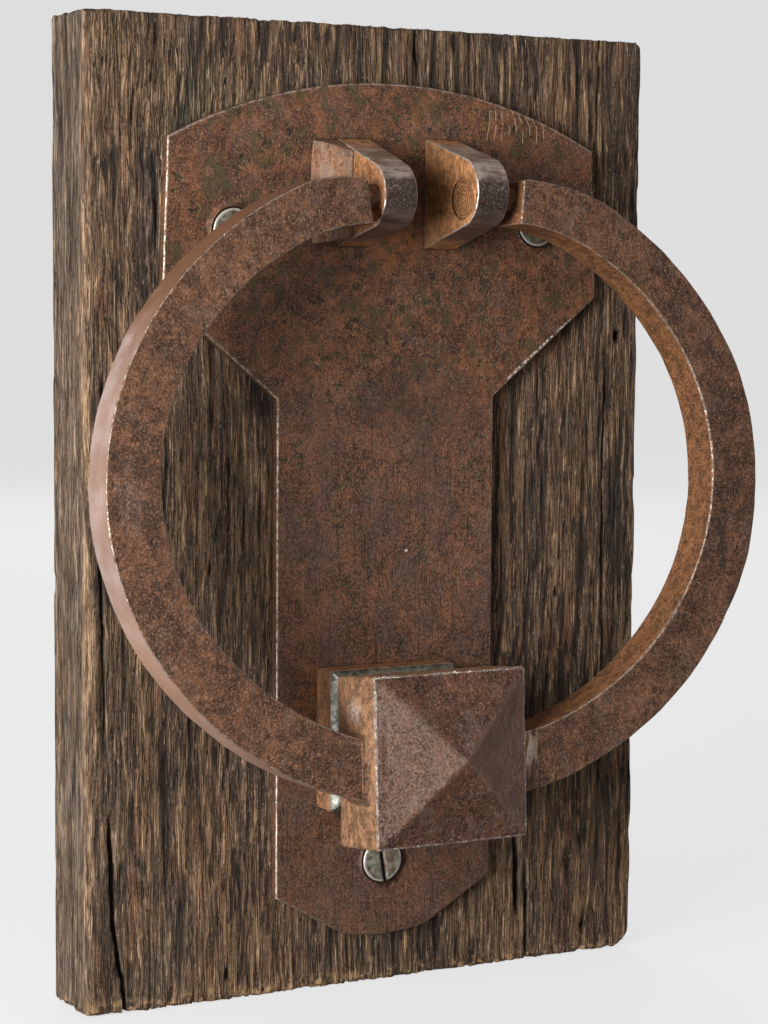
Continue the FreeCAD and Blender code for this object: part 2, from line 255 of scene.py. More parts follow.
def rounded_rows(shape, low, high, radius, steps=4, rows=3, guard=0.35, low_radius=0.0):
    """Rows of a wall that ends in a rounded edge at the top, and optionally at the bottom.

    shape(d) is the outline moved inwards by d."""
    found = []
    if low_radius:
        found.append((shape(low_radius + guard), low, 0.0))
        for k in range(steps):
            turn = math.pi / 2 * k / steps
            drop = low_radius * (1 - math.cos(turn))
            found.append((shape(low_radius * (1 - math.sin(turn))), low + drop, 1.0))
    for k in range(rows + 1):
        found.append((shape(0), low + low_radius + (high - radius - low - low_radius) * k / rows, 0.0))
    for k in range(1, steps + 1):
        turn = math.pi / 2 * k / steps
        found.append((shape(radius * (1 - math.cos(turn))), high - radius * (1 - math.sin(turn)), 1.0))
    found.append((shape(radius + guard), high, 0.0))
    return found


def along(points, step):
    """A closed polyline resampled so that no side is longer than step; corners are kept."""
    found = []
    for a, b in zip(points, list(points[1:]) + [points[0]]):
        a, b = np.array(a, float), np.array(b, float)
        count = max(1, int(round(np.linalg.norm(b - a) / step)))
        found += [a + (b - a) * k / count for k in range(count)]
    return np.array(found)


def arc_points(centre, radius, start_deg, end_deg, count):
    turns = np.radians(np.linspace(start_deg, end_deg, count))
    return [(centre[0] + radius * math.cos(t), centre[1] + radius * math.sin(t)) for t in turns]


def circle(centre, radius, count):
    return np.array(arc_points(centre, radius, 0, 360, count + 1)[:-1])


def square_shape(cx, cz, half, radius, pieces):
    """A square outline with rounded corners, as a function of how far it is moved inwards."""
    def shape(distance):
        reach, bend = half - distance, max(radius - distance, 0.12)
        loop = []
        for sx, sz, start in ((1, -1, -90), (1, 1, 0), (-1, 1, 90), (-1, -1, 180)):
            corner = (cx + sx * (reach - bend), cz + sz * (reach - bend))
            loop += arc_points(corner, bend, start, start + 90, 5)
            side = math.radians(start + 90)
            run = np.array([-math.sin(side), math.cos(side)]) * 2 * (reach - bend)
            first = np.array(loop[-1])
            loop += [tuple(first + run * k / pieces) for k in range(1, pieces)]
        return np.array(loop)
    return shape


def front_axes(points):
    """(x, z, height in front of the door) to the row frame."""
    return np.stack([points[:, 0], -points[:, 2], points[:, 1]], 1)


def side_axes(points):
    """(y, z, x) to the row frame."""
    return np.stack([points[:, 2], points[:, 0], points[:, 1]], 1)


def open_ring(points):
    """Turn points about the hinge from closed to the angle that the ring is stored at."""
    c, s = math.cos(OPEN_ANGLE), math.sin(OPEN_ANGLE)
    y, z = points[:, 1] - PIN_Y, points[:, 2] - HINGE_Z
    return np.stack([points[:, 0], PIN_Y + y * c + z * s, HINGE_Z - y * s + z * c], 1)


def roughen(points, faces, size, depth, seed, octaves=3):
    """Moves each point along its normal by a little noise."""
    normals = vertex_normals(points, faces)
    return points + normals * (layered(points / size, octaves, seed) * depth)[:, None]


# ------------------------------------------------------------------ oak board

# Mesh steps of the board's front: across, up and through its thickness.
BOARD_STEPS = (0.52, 1.3, 0.9)
BOARD_LOW, BOARD_HIGH = cad_box("oak_board")
BOARD_CORNERS = {(-1, 1): 1.6, (1, 1): 3.5, (-1, -1): 3.0, (1, -1): 7.5}
# Each crack: its line down the front as (x, z) points, half width, depth.
CRACKS = [
    ([(-77.6, -76.0), (-76.6, -95.0), (-76.2, -106.0), (-74.6, -117.0), (-72.8, -131.0)], 0.5, 6.0),
    ([(44.6, -78.0), (45.8, -92.0), (46.2, -108.0), (46.8, -119.0)], 0.7, 5.0),
    ([(48.6, -98.0), (49.2, -112.0), (49.6, -131.0)], 0.35, 2.0),
    ([(11.5, 131.0), (11.9, 122.0), (12.4, 112.0)], 0.35, 3.0),
    ([(-64.0, 131.0), (-64.6, 96.0), (-63.6, 60.0)], 0.22, 0.8),
    ([(70.5, 131.0), (69.5, 100.0), (70.3, 62.0)], 0.25, 1.2),
    ([(-79.0, 40.0), (-79.6, 0.0), (-78.6, -60.0)], 0.35, 1.6),
    ([(74.0, 40.0), (73.2, -10.0), (74.4, -52.0)], 0.3, 1.5),
]
# Old nail and worm holes: x, z, radius.
HOLES = [(77.6, 47.1, 0.9), (68.6, -122.2, 0.8), (58.0, -25.0, 0.5), (-44.0, -123.0, 0.6)]


def board_surface():
    """Points and faces of a box with fine front rows, and a coarse back."""
    width, depth, height = BOARD_HIGH - BOARD_LOW
    xs = np.linspace(BOARD_LOW[0], BOARD_HIGH[0], int(width / BOARD_STEPS[0]) + 1)
    zs = np.linspace(BOARD_LOW[2], BOARD_HIGH[2], int(height / BOARD_STEPS[1]) + 1)
    ys = np.linspace(BOARD_LOW[1], BOARD_HIGH[1], int(depth / BOARD_STEPS[2]) + 1)
    nx, nz = len(xs), len(zs)
    front = np.array([(x, ys[0], z) for z in zs for x in xs])
    faces = [(r * nx + c, r * nx + c + 1, (r + 1) * nx + c + 1, (r + 1) * nx + c)
             for r in range(nz - 1) for c in range(nx - 1)]
    rim = [c for c in range(nx)] + [r * nx + nx - 1 for r in range(1, nz)]
    rim += [(nz - 1) * nx + c for c in range(nx - 2, -1, -1)] + [r * nx for r in range(nz - 2, 0, -1)]
    points, previous, count = [front], rim, len(front)
    for y in ys[1:]:
        ring = front[rim].copy()
        ring[:, 1] = y
        current = list(range(count, count + len(rim)))
        for k in range(len(rim)):
            n = (k + 1) % len(rim)
            faces.append((previous[k], current[k], current[n], previous[n]))
        points.append(ring)
        previous, count = current, count + len(rim)
    loop = front[rim][:, [0, 2]]
    grid, cap = fill(loop, [], 5.0)
    index = np.concatenate([previous, count + np.arange(len(grid))])
    faces += [tuple(f[::-1]) for f in index[cap].tolist()]
    points.append(np.stack([grid[:, 0], np.full(len(grid), ys[-1]), grid[:, 1]], 1))
    return np.concatenate(points), faces


def round_board(points):
    """Wears the corners of the outline round, then the long edges."""
    p = points.copy()
    for (sx, sz), radius in BOARD_CORNERS.items():
        centre = np.array([BOARD_HIGH[0] - radius if sx > 0 else BOARD_LOW[0] + radius,
                           BOARD_HIGH[2] - radius if sz > 0 else BOARD_LOW[2] + radius])
        q = p[:, [0, 2]] - centre
        zone = (q[:, 0] * sx > 0) & (q[:, 1] * sz > 0)
        far = np.abs(q).max(1) / np.maximum(np.hypot(q[:, 0], q[:, 1]), 1e-9)
        p[zone, 0] = centre[0] + (q * far[:, None])[zone, 0]
        p[zone, 2] = centre[1] + (q * far[:, None])[zone, 1]
    left = smooth(-p[:, 0], 70, 84)
    ragged = layered(p / [30, 12, 11], 3, 5)
    radius = 0.6 + 0.4 * ragged + left * (1.3 + 0.7 * layered(p / [30, 12, 17], 3, 8))
    back = smooth(p[:, 1], -12, -6)
    radius = radius * (1 - back) + (1.3 + 0.6 * ragged) * back
    low = np.stack([BOARD_LOW[k] + radius for k in range(3)], 1)
    high = np.stack([BOARD_HIGH[k] - radius for k in range(3)], 1)
    core = np.clip(p, low, high)
    out = p - core
    return core + out / np.maximum(np.linalg.norm(out, axis=1), 1e-9)[:, None] * radius[:, None]


def crack_depth(points):
    """How deep each point of the front lies in a crack, and a mark from 0 to 1."""
    depth, mark = np.zeros(len(points)), np.zeros(len(points))
    wander = 0.45 * layered(points / [9, 9, 6], 3, 41)
    for line, half_width, deepest in CRACKS:
        line = np.array(line)
        order = np.argsort(line[:, 1])
        x = np.interp(points[:, 2], line[order, 1], line[order, 0]) + wander
        low, high = line[:, 1].min(), line[:, 1].max()
        ends = smooth(points[:, 2], low, low + 9) if low > -129 else 1.0
        ends = ends * (1 - smooth(points[:, 2], high - 9, high) if high < 129 else 1.0)
        here = (1 - smooth(np.abs(points[:, 0] - x), half_width * 0.35, half_width * 1.5)) * ends
        front = 1 - smooth(points[:, 1], BOARD_LOW[1] + 1.0, BOARD_LOW[1] + 10.0)
        depth = np.maximum(depth, here * deepest * front)
        mark = np.maximum(mark, here * front * min(1.0, deepest / 3))
    for x, z, radius in HOLES:
        far = np.hypot(points[:, 0] - x, (points[:, 2] - z) * 0.7)
        here = (1 - smooth(far, radius * 0.6, radius * 1.5)) * (points[:, 1] < BOARD_LOW[1] + 2)
        depth, mark = np.maximum(depth, here * 3.0), np.maximum(mark, here)
    return depth, mark


def grain_place(points):
    """Points in the plank's own grain, which wanders a little from side to side."""
    x, y, z = points.T
    wander = 2.4 * noise(np.stack([x / 60, y / 60, z / 90], 1), 11) + 0.7 * noise(points / [22, 22, 30], 12)
    swirl = 9.0 * np.exp(-((x + 38) / 26) ** 2 - ((z - 112) / 30) ** 2) * (z - 100) / 30
    return np.stack([x + wander - swirl, y + 0.5 * wander, z], 1)


def oak_board():
    points, faces = board_surface()
    points = round_board(points)
    normals = vertex_normals(points, faces)
    g = grain_place(points)
    bands = layered(g / [3.0, 3.0, 70], 2, 21)
    ridges = layered(g / [1.1, 1.1, 17], 2, 23)
    valleys = (1 - np.abs(noise(g / [2.1, 2.1, 38], 25))) ** 6
    pores = smooth(noise(g / [1.05, 1.05, 7], 27), 0.45, 0.9)
    relief = 0.24 * bands + 0.34 * ridges - 0.44 * valleys - 0.30 * pores
    height = np.clip(relief - 0.26, -1.7, 0.0)
    height *= np.where(points[:, 1] > -1.5, 0.25, 1.0)
    depth, crack = crack_depth(points)
    broken = smooth(layered(g / [7, 7, 16], 3, 31), 0.38, 0.6) * 0.35
    moved = points + normals * (height - broken)[:, None]
    moved[:, 1] += depth
    moved = np.clip(moved, BOARD_LOW, BOARD_HIGH)
    from_arris = np.hypot(points[:, 0] - BOARD_LOW[0], points[:, 1] - BOARD_LOW[1])
    marks = {"relief": np.clip(0.5 + relief * 0.8, 0, 1), "crack": crack,
             "arris": 1 - smooth(from_arris, 1.3, 3.6)}
    return make_piece("oak_plank", moved, faces, PLATE_BODY, "oak_board", marks)


# ------------------------------------------------------------------ fixed ironwork

PLATE_EDGE, LUG_EDGE, WELD_EDGE, STRIKE_BEVEL, STRIKE_CORNER = 0.45, 0.45, 0.35, 2.2, 0.8
LUG_WELD_STEP, LUG_WELD_SAG = 0.8, 1.6
SLOT_HALF, SLOT_DEPTH, SHANK_RADIUS, TIP_RADIUS, TIP_LENGTH, CONE_HEIGHT = 0.62, 1.5, 2.9, 0.6, 5.0, 2.9
BORE_PLAY, HEAD_PLAY, SCREW_PLAY, PIN_FLARE = 0.08, 0.06, 0.12, 1.2
PLATE_LOW, PLATE_HIGH = cad_box("back_plate")
PLATE_X = (PLATE_LOW[0] + PLATE_HIGH[0]) / 2
PLATE_FACE = -PLATE_LOW[1]
PLATE_BACK = -PLATE_HIGH[1]
PLATE_RIGHT = [(64.5, 98.5), (66.0, 57.7), (33.2, 30.5), (33.2, -103.2), (12.8, -115.2)]
SCREWS = {"screw_upper_left": 48.0, "screw_upper_right": 80.0, "screw_lower": -9.0}
SCREW_RADIUS = 5.9
LUG_THICK, LUG_GAP = 9.6, 8.4
PIN_RADIUS, PIN_HEAD = 3.2, 5.2
# Top and bottom at the plate, then the nose's height, radius and distance from the plate.
LUGS = {-1: (99.6, 70.8, 83.9, 8.6, 18.4), 1: (100.2, 70.5, 85.2, 9.2, 19.6)}


def screw_centre(node):
    low, high = cad_box(node)
    return (low[0] + high[0]) / 2, (low[2] + high[2]) / 2


def plate_outline():
    """The sheet's outline, anticlockwise from the crown."""
    right = [(PLATE_X + x, z) for x, z in PLATE_RIGHT]
    left = [(PLATE_X - x, z) for x, z in PLATE_RIGHT]

    def bow(a, b, rise, count):
        """Shallow circular arc from a to b that rises above the chord."""
        a, b = np.array(a), np.array(b)
        half = np.linalg.norm(b - a) / 2
        radius = (half * half + rise * rise) / (2 * abs(rise))
        middle = (a + b) / 2 + np.array([0, math.copysign(1, rise)]) * (abs(rise) - radius)
        start, end = (math.atan2(p[1] - middle[1], p[0] - middle[0]) for p in (a, b))
        if rise < 0 and end < start:
            end += 2 * math.pi
        turns = np.linspace(start, end, count)
        return [tuple(middle + radius * np.array([math.cos(t), math.sin(t)])) for t in turns]

    crown = bow(right[0], left[0], PLATE_HIGH[2] - PLATE_RIGHT[0][1], 60)
    foot = bow(left[-1], right[-1], PLATE_LOW[2] - PLATE_RIGHT[-1][1], 16)
    outline = crown + left[1:-1] + foot + right[1:-1][::-1]
    return along(outline, 1.5)


def iron_plate():
    outline = plate_outline()
    uneven = layered(np.stack([outline[:, 0], outline[:, 1], outline[:, 0] * 0], 1) / 6.0, 3, 51)
    outline = inset(outline, 0.12) + 0.10 * uneven[:, None] * np.array([0.7, 0.7])
    rows = rounded_rows(lambda d: inset(outline, d), PLATE_BACK, PLATE_FACE, PLATE_EDGE, 3, 2, 0.5)
    holes = []
    for node in SCREWS:
        x, z = screw_centre(node)
        ring = circle((x, z), SCREW_RADIUS + SCREW_PLAY, 48)[::-1]
        holes.append([(ring, PLATE_BACK, 0), (ring, PLATE_FACE - 0.25, 0.4),
                      (circle((x, z), 6.3, 48)[::-1], PLATE_FACE, 0)])
    points, faces, edge = solid(rows, holes, spacing=1.7, back_spacing=8.0)
    on_front = points[:, 2] > PLATE_FACE - 0.6
    dents = layered(points / [16, 16, 16], 3, 53)
    points[:, 2] -= on_front * (0.10 + 0.09 * dents + 0.06 * layered(points / [3.5, 3.5, 3.5], 2, 54))
    place = front_axes(points)
    return make_piece("iron_plate", place, faces, PLATE_BODY, "back_plate", {"edge": edge})


def lug_profile(side, step=1.7):
    """Side outline of a lug in (y, z), anticlockwise: converging flanks and a round nose."""
    top, bottom, nose_z, radius, out = LUGS[side]
    face_y = -PLATE_FACE

    def tangent(root_z):
        turn = math.acos(radius / math.hypot(out, root_z - nose_z))
        return math.degrees(math.atan2(root_z - nose_z, out) + math.copysign(turn, root_z - nose_z))

    around = arc_points((face_y - out, nose_z), radius, tangent(top), tangent(bottom) + 360, 40)
    return along([(face_y, bottom), (face_y, top)] + around, step)


def lug_piece(side):
    """Hinge lug with softly worn edges and a bored, countersunk pin hole."""
    node = "lug_left" if side < 0 else "lug_right"
    low, high = cad_box(node)
    outline = lug_profile(side)
    soft = rounded_rows(lambda d: inset(outline, d), low[0], high[0], LUG_EDGE, 4, 9, 0.15, LUG_EDGE)
    centre = (PIN_Y, HINGE_Z)
    head, bored = PIN_HEAD + HEAD_PLAY, PIN_RADIUS + BORE_PLAY
    wide = [(head, low[0] if side > 0 else high[0]),
            (bored, low[0] + PIN_FLARE if side > 0 else high[0] - PIN_FLARE),
            (bored, high[0] if side > 0 else low[0])]
    wide.sort(key=lambda row: row[1])
    bore = [(circle(centre, r, 56)[::-1], w, 0.0) for r, w in wide]
    points, faces, edge = solid(soft, [bore], spacing=0.9)
    wall = ((points[:, 2] > low[0] + 0.4) & (points[:, 2] < high[0] - 0.4)).astype(float)
    away = np.hypot(points[:, 0] - PIN_Y, points[:, 1] - HINGE_Z)
    points = side_axes(points)
    moved = roughen(points, faces, 7.0, 0.2, 61 + side)
    flat = points[:, 0] - np.sign(points[:, 0] - (low[0] + high[0]) / 2) * 0.02
    moved[:, 0] = np.where(wall > 0, moved[:, 0], flat)
    keep = away < head + 0.2
    moved[keep] = points[keep]
    moved = np.clip(moved, low, high)
    return make_piece("hinge_" + node, moved, faces, PLATE_BODY, node,
                      {"edge": edge, "band": wall})


def weld_foot():
    """Weld built up beside the left lug and filed to a hollow ramp; its ends follow the lug's flanks."""
    low, high = cad_box("lug_weld_left")
    face_x, toe_x, base_y, crest_y = high[0], low[0], high[1], low[1]
    turns = np.linspace(0, 1, 14)
    hollow = [(toe_x + (face_x - toe_x) * t, base_y - LUG_WELD_STEP + (crest_y - base_y + LUG_WELD_STEP) * t
               + LUG_WELD_SAG * math.sin(math.pi * t))
              for t in turns]
    outline = along([(face_x, base_y), (face_x, crest_y)] + hollow[::-1][1:] + [(toe_x, base_y)], 1.0)
    rows = rounded_rows(lambda d: inset(outline, d), 0.0, high[2] - low[2], WELD_EDGE, 2, 26, 0.05, WELD_EDGE)
    points, faces, edge = solid(rows, spacing=1.0)
    profile = lug_profile(-1, 0.3)
    upper, lower = profile[profile[:, 1] > HINGE_Z], profile[profile[:, 1] < HINGE_Z]
    tops = np.interp(points[:, 1], *upper[np.argsort(upper[:, 0])].T)
    bottoms = np.interp(points[:, 1], *lower[np.argsort(lower[:, 0])].T)
    share = points[:, 2] / (high[2] - low[2])
    points[:, 2] = bottoms + 0.4 + share * (tops - bottoms - 0.8)
    moved = roughen(points, faces, 4.0, 0.34, 71)
    moved = np.clip(moved, low, high)
    return make_piece("weld_foot", moved, faces, PLATE_BODY, "lug_weld_left",
                      {"edge": edge * 0.4})


def strike_piece():
    """Square anvil block with bright bevels."""
    low, high = cad_box("strike_block")
    cx, cz, half = (low[0] + high[0]) / 2, (low[2] + high[2]) / 2, (high[0] - low[0]) / 2
    outline = square_shape(cx, cz, half, STRIKE_CORNER, 34)
    back, face, bevel = -high[1], -low[1], STRIKE_BEVEL
    rows = [(outline(0), back + (face - bevel - back) * k / 6, 0.0) for k in range(6)]
    rows += [(outline(0), face - bevel - 0.25, 0.0), (outline(0.12), face - bevel + 0.05, 1.0),
             (outline(bevel * 0.5), face - bevel * 0.5 - 0.1, 1.0), (outline(bevel - 0.15), face - 0.12, 1.0),
             (outline(bevel + 0.25), face, 0.6), (outline(bevel + 0.8), face, 0.0)]
    points, faces, edge = solid(rows, spacing=1.4)
    moved = roughen(points, faces, 9.0, 0.10, 81)
    place = np.clip(front_axes(moved), low, high)
    return make_piece("strike_anvil", place, faces, PLATE_BODY, "strike_block", {"edge": edge})


def screw_piece(node):
    """Slotted countersunk head with a worn rim, on its cone and shank."""
    low, high = cad_box(node)
    centre = np.array(screw_centre(node))
    slot_turn = math.radians(SCREWS[node])
    floor = -low[1] - SLOT_DEPTH
    turns = set(np.round(np.linspace(0, 2 * math.pi, 73)[:-1], 6))
    for half in (SLOT_HALF, SLOT_HALF + 0.06):
        turn = math.asin(half / SCREW_RADIUS)
        turns |= {round(t % (2 * math.pi), 6) for t in (math.pi / 2 + turn, math.pi / 2 - turn,
                                                       1.5 * math.pi + turn, 1.5 * math.pi - turn)}
    turns = np.array(sorted(turns))
    unit = np.stack([np.cos(turns), np.sin(turns)], 1)
    in_slot = np.abs(unit[:, 0] * SCREW_RADIUS) < SLOT_HALF + 0.02
    front = -low[1]
    profile = [(TIP_RADIUS, -high[1], 0), (SHANK_RADIUS, -high[1] + TIP_LENGTH, 0),
               (SHANK_RADIUS, PLATE_FACE - CONE_HEIGHT, 0), (5.6, PLATE_FACE - 0.2, 0.2),
               (5.85, PLATE_FACE + 0.05, 1), (5.8, front - 0.28, 1), (5.55, front - 0.19, 1),
               (5.0, front - 0.15, 0)]
    rows = [(unit * r, np.where(in_slot, min(w, floor), w), e) for r, w, e in profile]

    def crown(grid):
        top = front - 0.16 * (np.linalg.norm(grid, axis=1) / 5.0) ** 2
        worn = 0.12 * (1 - smooth(np.abs(grid[:, 0]), SLOT_HALF, SLOT_HALF + 0.5))
        return np.where(np.abs(grid[:, 0]) < SLOT_HALF + 0.02, floor, top - worn)

    walls = [(side * (SLOT_HALF + out), v) for side in (-1, 1) for out in (0.0, 0.04)
             for v in np.arange(-4.5, 4.6, 0.3)]
    points, faces, edge = solid(rows, spacing=0.45, top=crown, back_spacing=2.0, seams=np.array(walls))
    cut = (np.abs(points[:, 0]) < SLOT_HALF + 0.03) & (np.abs(points[:, 2] - floor) < 0.05)
    c, s = math.cos(slot_turn), math.sin(slot_turn)
    turned = np.stack([points[:, 0] * c + points[:, 1] * s, -points[:, 0] * s + points[:, 1] * c], 1)
    points[:, :2] = turned + centre
    marks = {"edge": np.where(cut, 0, edge), "slot": cut.astype(float)}
    return make_piece("wood_" + node, front_axes(points), faces, PLATE_BODY, node, marks)


# ------------------------------------------------------------------ swinging ironwork

ARM_LENGTH, ARM_END_ROUNDING, PIN_IN_ARM, FILLET_LEG = 245.0, 0.7, 12.0, 2.7
BOSS_CORNER, BOSS_RIM_EDGE, BOSS_BACK_EDGE, STRIKE_CLEARANCE = 0.9, 0.55, 0.8, 0.03
OUTER = (97.0, 84.6, 9.2)
INNER = (81.9, 70.1, 10.5)
# How far out each edge starts to be drawn down to the hinge, and the drop there: (inner, outer).
DRAWN = {-1: ((42.0, 2.1), (42.0, 4.0)), 1: ((42.0, 1.4), (52.0, 2.9))}
RING_BACK, RING_DEPTH, RING_BEVEL = PLATE_FACE + 16.0, 12.0, 0.6
RING_FRONT = RING_BACK + RING_DEPTH
END_GAP, END_LEAN = 22.5, math.tan(math.radians(6.5))
BOSS_X, BOSS_Z, BOSS_HALF = 0.2, -61.8, 22.5
BOSS_BACK, BOSS_RIM, BOSS_POINT, BOSS_DROP = PLATE_FACE + 10.63, PLATE_FACE + 31.5, 8.0, 1.5
GROUND_REACH, GROUND_DEPTH = 6.1, 2.8


def oval_point(oval, turn):
    return HINGE_X + oval[0] * math.cos(turn), oval[2] + oval[1] * math.sin(turn)


def oval_turn(oval, x, is_top):
    turn = math.acos((x - HINGE_X) / oval[0])
    return turn if is_top else 2 * math.pi - turn


def drawn_down(oval, side, start_out, drop):
    """Arc that takes an edge of the bar from the hinge end out to its oval, and the oval's angle there."""
    turn = oval_turn(oval, HINGE_X + side * start_out, True)
    start = np.array(oval_point(oval, turn))
    run = np.array([oval[0] * math.sin(turn), -oval[1] * math.cos(turn)]) * -side
    run /= np.linalg.norm(run)
    square_x = HINGE_X + side * END_GAP
    end_z = oval_point(oval, oval_turn(oval, square_x, True))[1] - drop
    chord = np.array([square_x + side * END_LEAN * (end_z - HINGE_Z), end_z]) - start
    across = chord - run * (chord @ run)
    half_turn = math.atan2(np.linalg.norm(across), chord @ run)
    across /= np.linalg.norm(across)
    radius = np.linalg.norm(chord) / (2 * math.sin(half_turn))
    steps = np.linspace(2 * half_turn, 0, 24)
    return [start + radius * (math.sin(t) * run + (1 - math.cos(t)) * across) for t in steps], turn


def arm_stations(side, step):
    """Inner and outer points of the bar, from the hinge end to the boss."""
    found = []
    for oval, (start_out, drop) in zip((INNER, OUTER), DRAWN[side]):
        path, top = drawn_down(oval, side, start_out, drop)
        bottom = oval_turn(oval, BOSS_X + side * (BOSS_HALF - 2.0), False)
        turns = np.linspace(top + (2 * math.pi if side > 0 else 0), bottom, 300)
        path = np.array(path + [oval_point(oval, t) for t in turns[1:]])
        run = np.concatenate([[0], np.cumsum(np.linalg.norm(np.diff(path, axis=0), axis=1))])
        share = np.linspace(0, run[-1], int(ARM_LENGTH / step))
        found.append(np.stack([np.interp(share, run, path[:, k]) for k in (0, 1)], 1))
    return found


def bar_section(width, depth, bevel, shrink):
    """Closed outline of the bar's section as (across, forward) with a mark on its bevels."""
    half_w, half_d = width / 2 - shrink, depth / 2 - shrink
    bevel = max(bevel - shrink * 0.4, 0.2)
    corners = []
    for sa, sb, start in ((1, -1, -90), (1, 1, 0), (-1, 1, 90), (-1, -1, 180)):
        centre = (sa * (half_w - bevel), sb * (half_d - bevel))
        corners.append(arc_points(centre, bevel, start, start + 90, 5))
    loop, mark = [], []
    for k, corner in enumerate(corners):
        loop += corner
        mark += [0.55, 1, 1, 1, 0.55]
        nxt = corners[(k + 1) % 4][0]
        pieces = 14 if k % 2 else 12
        for n in range(1, pieces):
            t = 0.5 - 0.5 * math.cos(math.pi * n / pieces) if n in (1, pieces - 1) else n / pieces
            loop.append(tuple(np.array(corner[-1]) * (1 - t) + np.array(nxt) * t))
            mark.append(0.0)
    return np.array(loop), np.array(mark)


def ring_arm_piece(side):
    """Forged bar of rectangular section with eased edges, from the hinge to the boss."""
    inner, outer = arm_stations(side, 1.0)
    rounding = ARM_END_ROUNDING
    points, marks, outer_side, ends = [], [], [], [0.0, 0.08, 0.28, 0.6, 1.0]
    rings = [(0, rounding - rounding * math.sqrt(max(0, 1 - (1 - e) ** 2)), e * rounding) for e in ends[:-1]]
    rings += [(k, 0.0, rounding if k == 0 else 0.0) for k in range(len(inner))]
    for k, shrink, push in rings:
        across = outer[k] - inner[k]
        width = np.linalg.norm(across)
        across = across / width
        ahead = (inner[min(k + 1, len(inner) - 1)] + outer[min(k + 1, len(inner) - 1)]
                 - inner[max(k - 1, 0)] - outer[max(k - 1, 0)])
        ahead = ahead / np.linalg.norm(ahead)
        middle = (inner[k] + outer[k]) / 2 + ahead * push
        loop, mark = bar_section(width, RING_DEPTH, RING_BEVEL, shrink)
        for a, b in loop:
            x, z = middle + across * a
            points.append((x, -(RING_BACK + RING_DEPTH / 2 + b), z))
        marks += list(np.maximum(mark, 1.0 if 0 < k + push < rounding else 0.0))
        outer_side += list(loop[:, 0] / (width / 2))
    count = len(loop)
    faces = wall_faces(range(0, len(rings) * count, count), count, side < 0)
    for start, flip in ((0, side > 0), ((len(rings) - 1) * count, side < 0)):
        loop = np.array(points[start:start + count])
        ring = list(range(start, start + count))
        for share in (0.75, 0.5, 0.25):
            current = list(range(len(points), len(points) + count))
            points += [tuple(p) for p in loop.mean(0) + (loop - loop.mean(0)) * share]
            marks += [0.0] * count
            outer_side += [0.0] * count
            for k in range(count):
                n = (k + 1) % count
                face = (ring[k], ring[n], current[n], current[k])
                faces.append(face[::-1] if flip else face)
            ring = current
        faces.append(tuple(ring[::-1] if flip else ring))
    points = np.array(points)
    node = "ring_arm_left" if side < 0 else "ring_arm_right"
    if side > 0:
        into = np.clip(1 - (points[:, 0] - BOSS_X - BOSS_HALF) / GROUND_REACH, 0, 1)
        deepest = np.where(points[:, 2] < 0, -RING_FRONT + (GROUND_DEPTH * into + 0.5) * (into > 0), -1e3)
        points[:, 1] = np.maximum(points[:, 1], deepest)
    moved = roughen(points, faces, 17.0, 0.34, 91 + side, 2) - vertex_normals(points, faces) * 0.12
    moved = roughen(moved, faces, 3.2, 0.09, 95 + side, 2)
    low, high = cad_box(node)
    place = open_ring(moved)
    place = np.clip(place, low, high)
    marks = {"edge": np.array(marks), "outer": np.array(outer_side)}
    return make_piece("forged_" + node, place, faces, RING_BODY, node, marks)


def boss_piece():
    """Striker boss: a square block with a worn four-sided point."""
    outline = square_shape(BOSS_X, BOSS_Z, BOSS_HALF - 0.1, BOSS_CORNER, 60)
    rows = rounded_rows(outline, BOSS_BACK + 0.02, BOSS_RIM, BOSS_RIM_EDGE, 3, 24, 0.3, BOSS_BACK_EDGE)

    def rise(grid):
        u, v = np.abs(grid[:, 0] - BOSS_X) / BOSS_HALF, np.abs(grid[:, 1] - BOSS_Z) / BOSS_HALF
        soft = (u ** 16 + v ** 16 + 0.03 ** 16) ** (1 / 16)
        return BOSS_RIM + BOSS_POINT * (0.985 - np.clip(soft, 0, 0.985))

    points, faces, edge = solid(rows, spacing=0.62, top=rise, back_spacing=2.0)
    on_front = points[:, 2] > BOSS_RIM - 0.7
    ridge = np.abs(np.abs(points[:, 0] - BOSS_X) - np.abs(points[:, 1] - BOSS_Z))
    hollow = 0.45 * smooth(ridge, 0, 10) * on_front
    points[:, 2] -= hollow * smooth(points[:, 2], BOSS_RIM, BOSS_RIM + 1)
    behind = np.clip((BOSS_RIM - points[:, 2]) / (BOSS_RIM - BOSS_BACK), 0, 1)
    points[:, 1] -= BOSS_DROP * behind
    place = front_axes(points)
    moved = roughen(place, faces, 9.0, 0.24, 101)
    moved = roughen(moved, faces, 1.6, 0.10, 105, 2)
    moved[:, 1] = np.minimum(moved[:, 1], -BOSS_BACK - STRIKE_CLEARANCE)
    low, high = cad_box("striker_boss")
    place = np.clip(open_ring(moved), low, high)
    marks = {"edge": edge, "ridge": (1 - smooth(ridge, 0.2, 1.6)) * on_front}
    return make_piece("forged_boss", place, faces, RING_BODY, "striker_boss", marks)


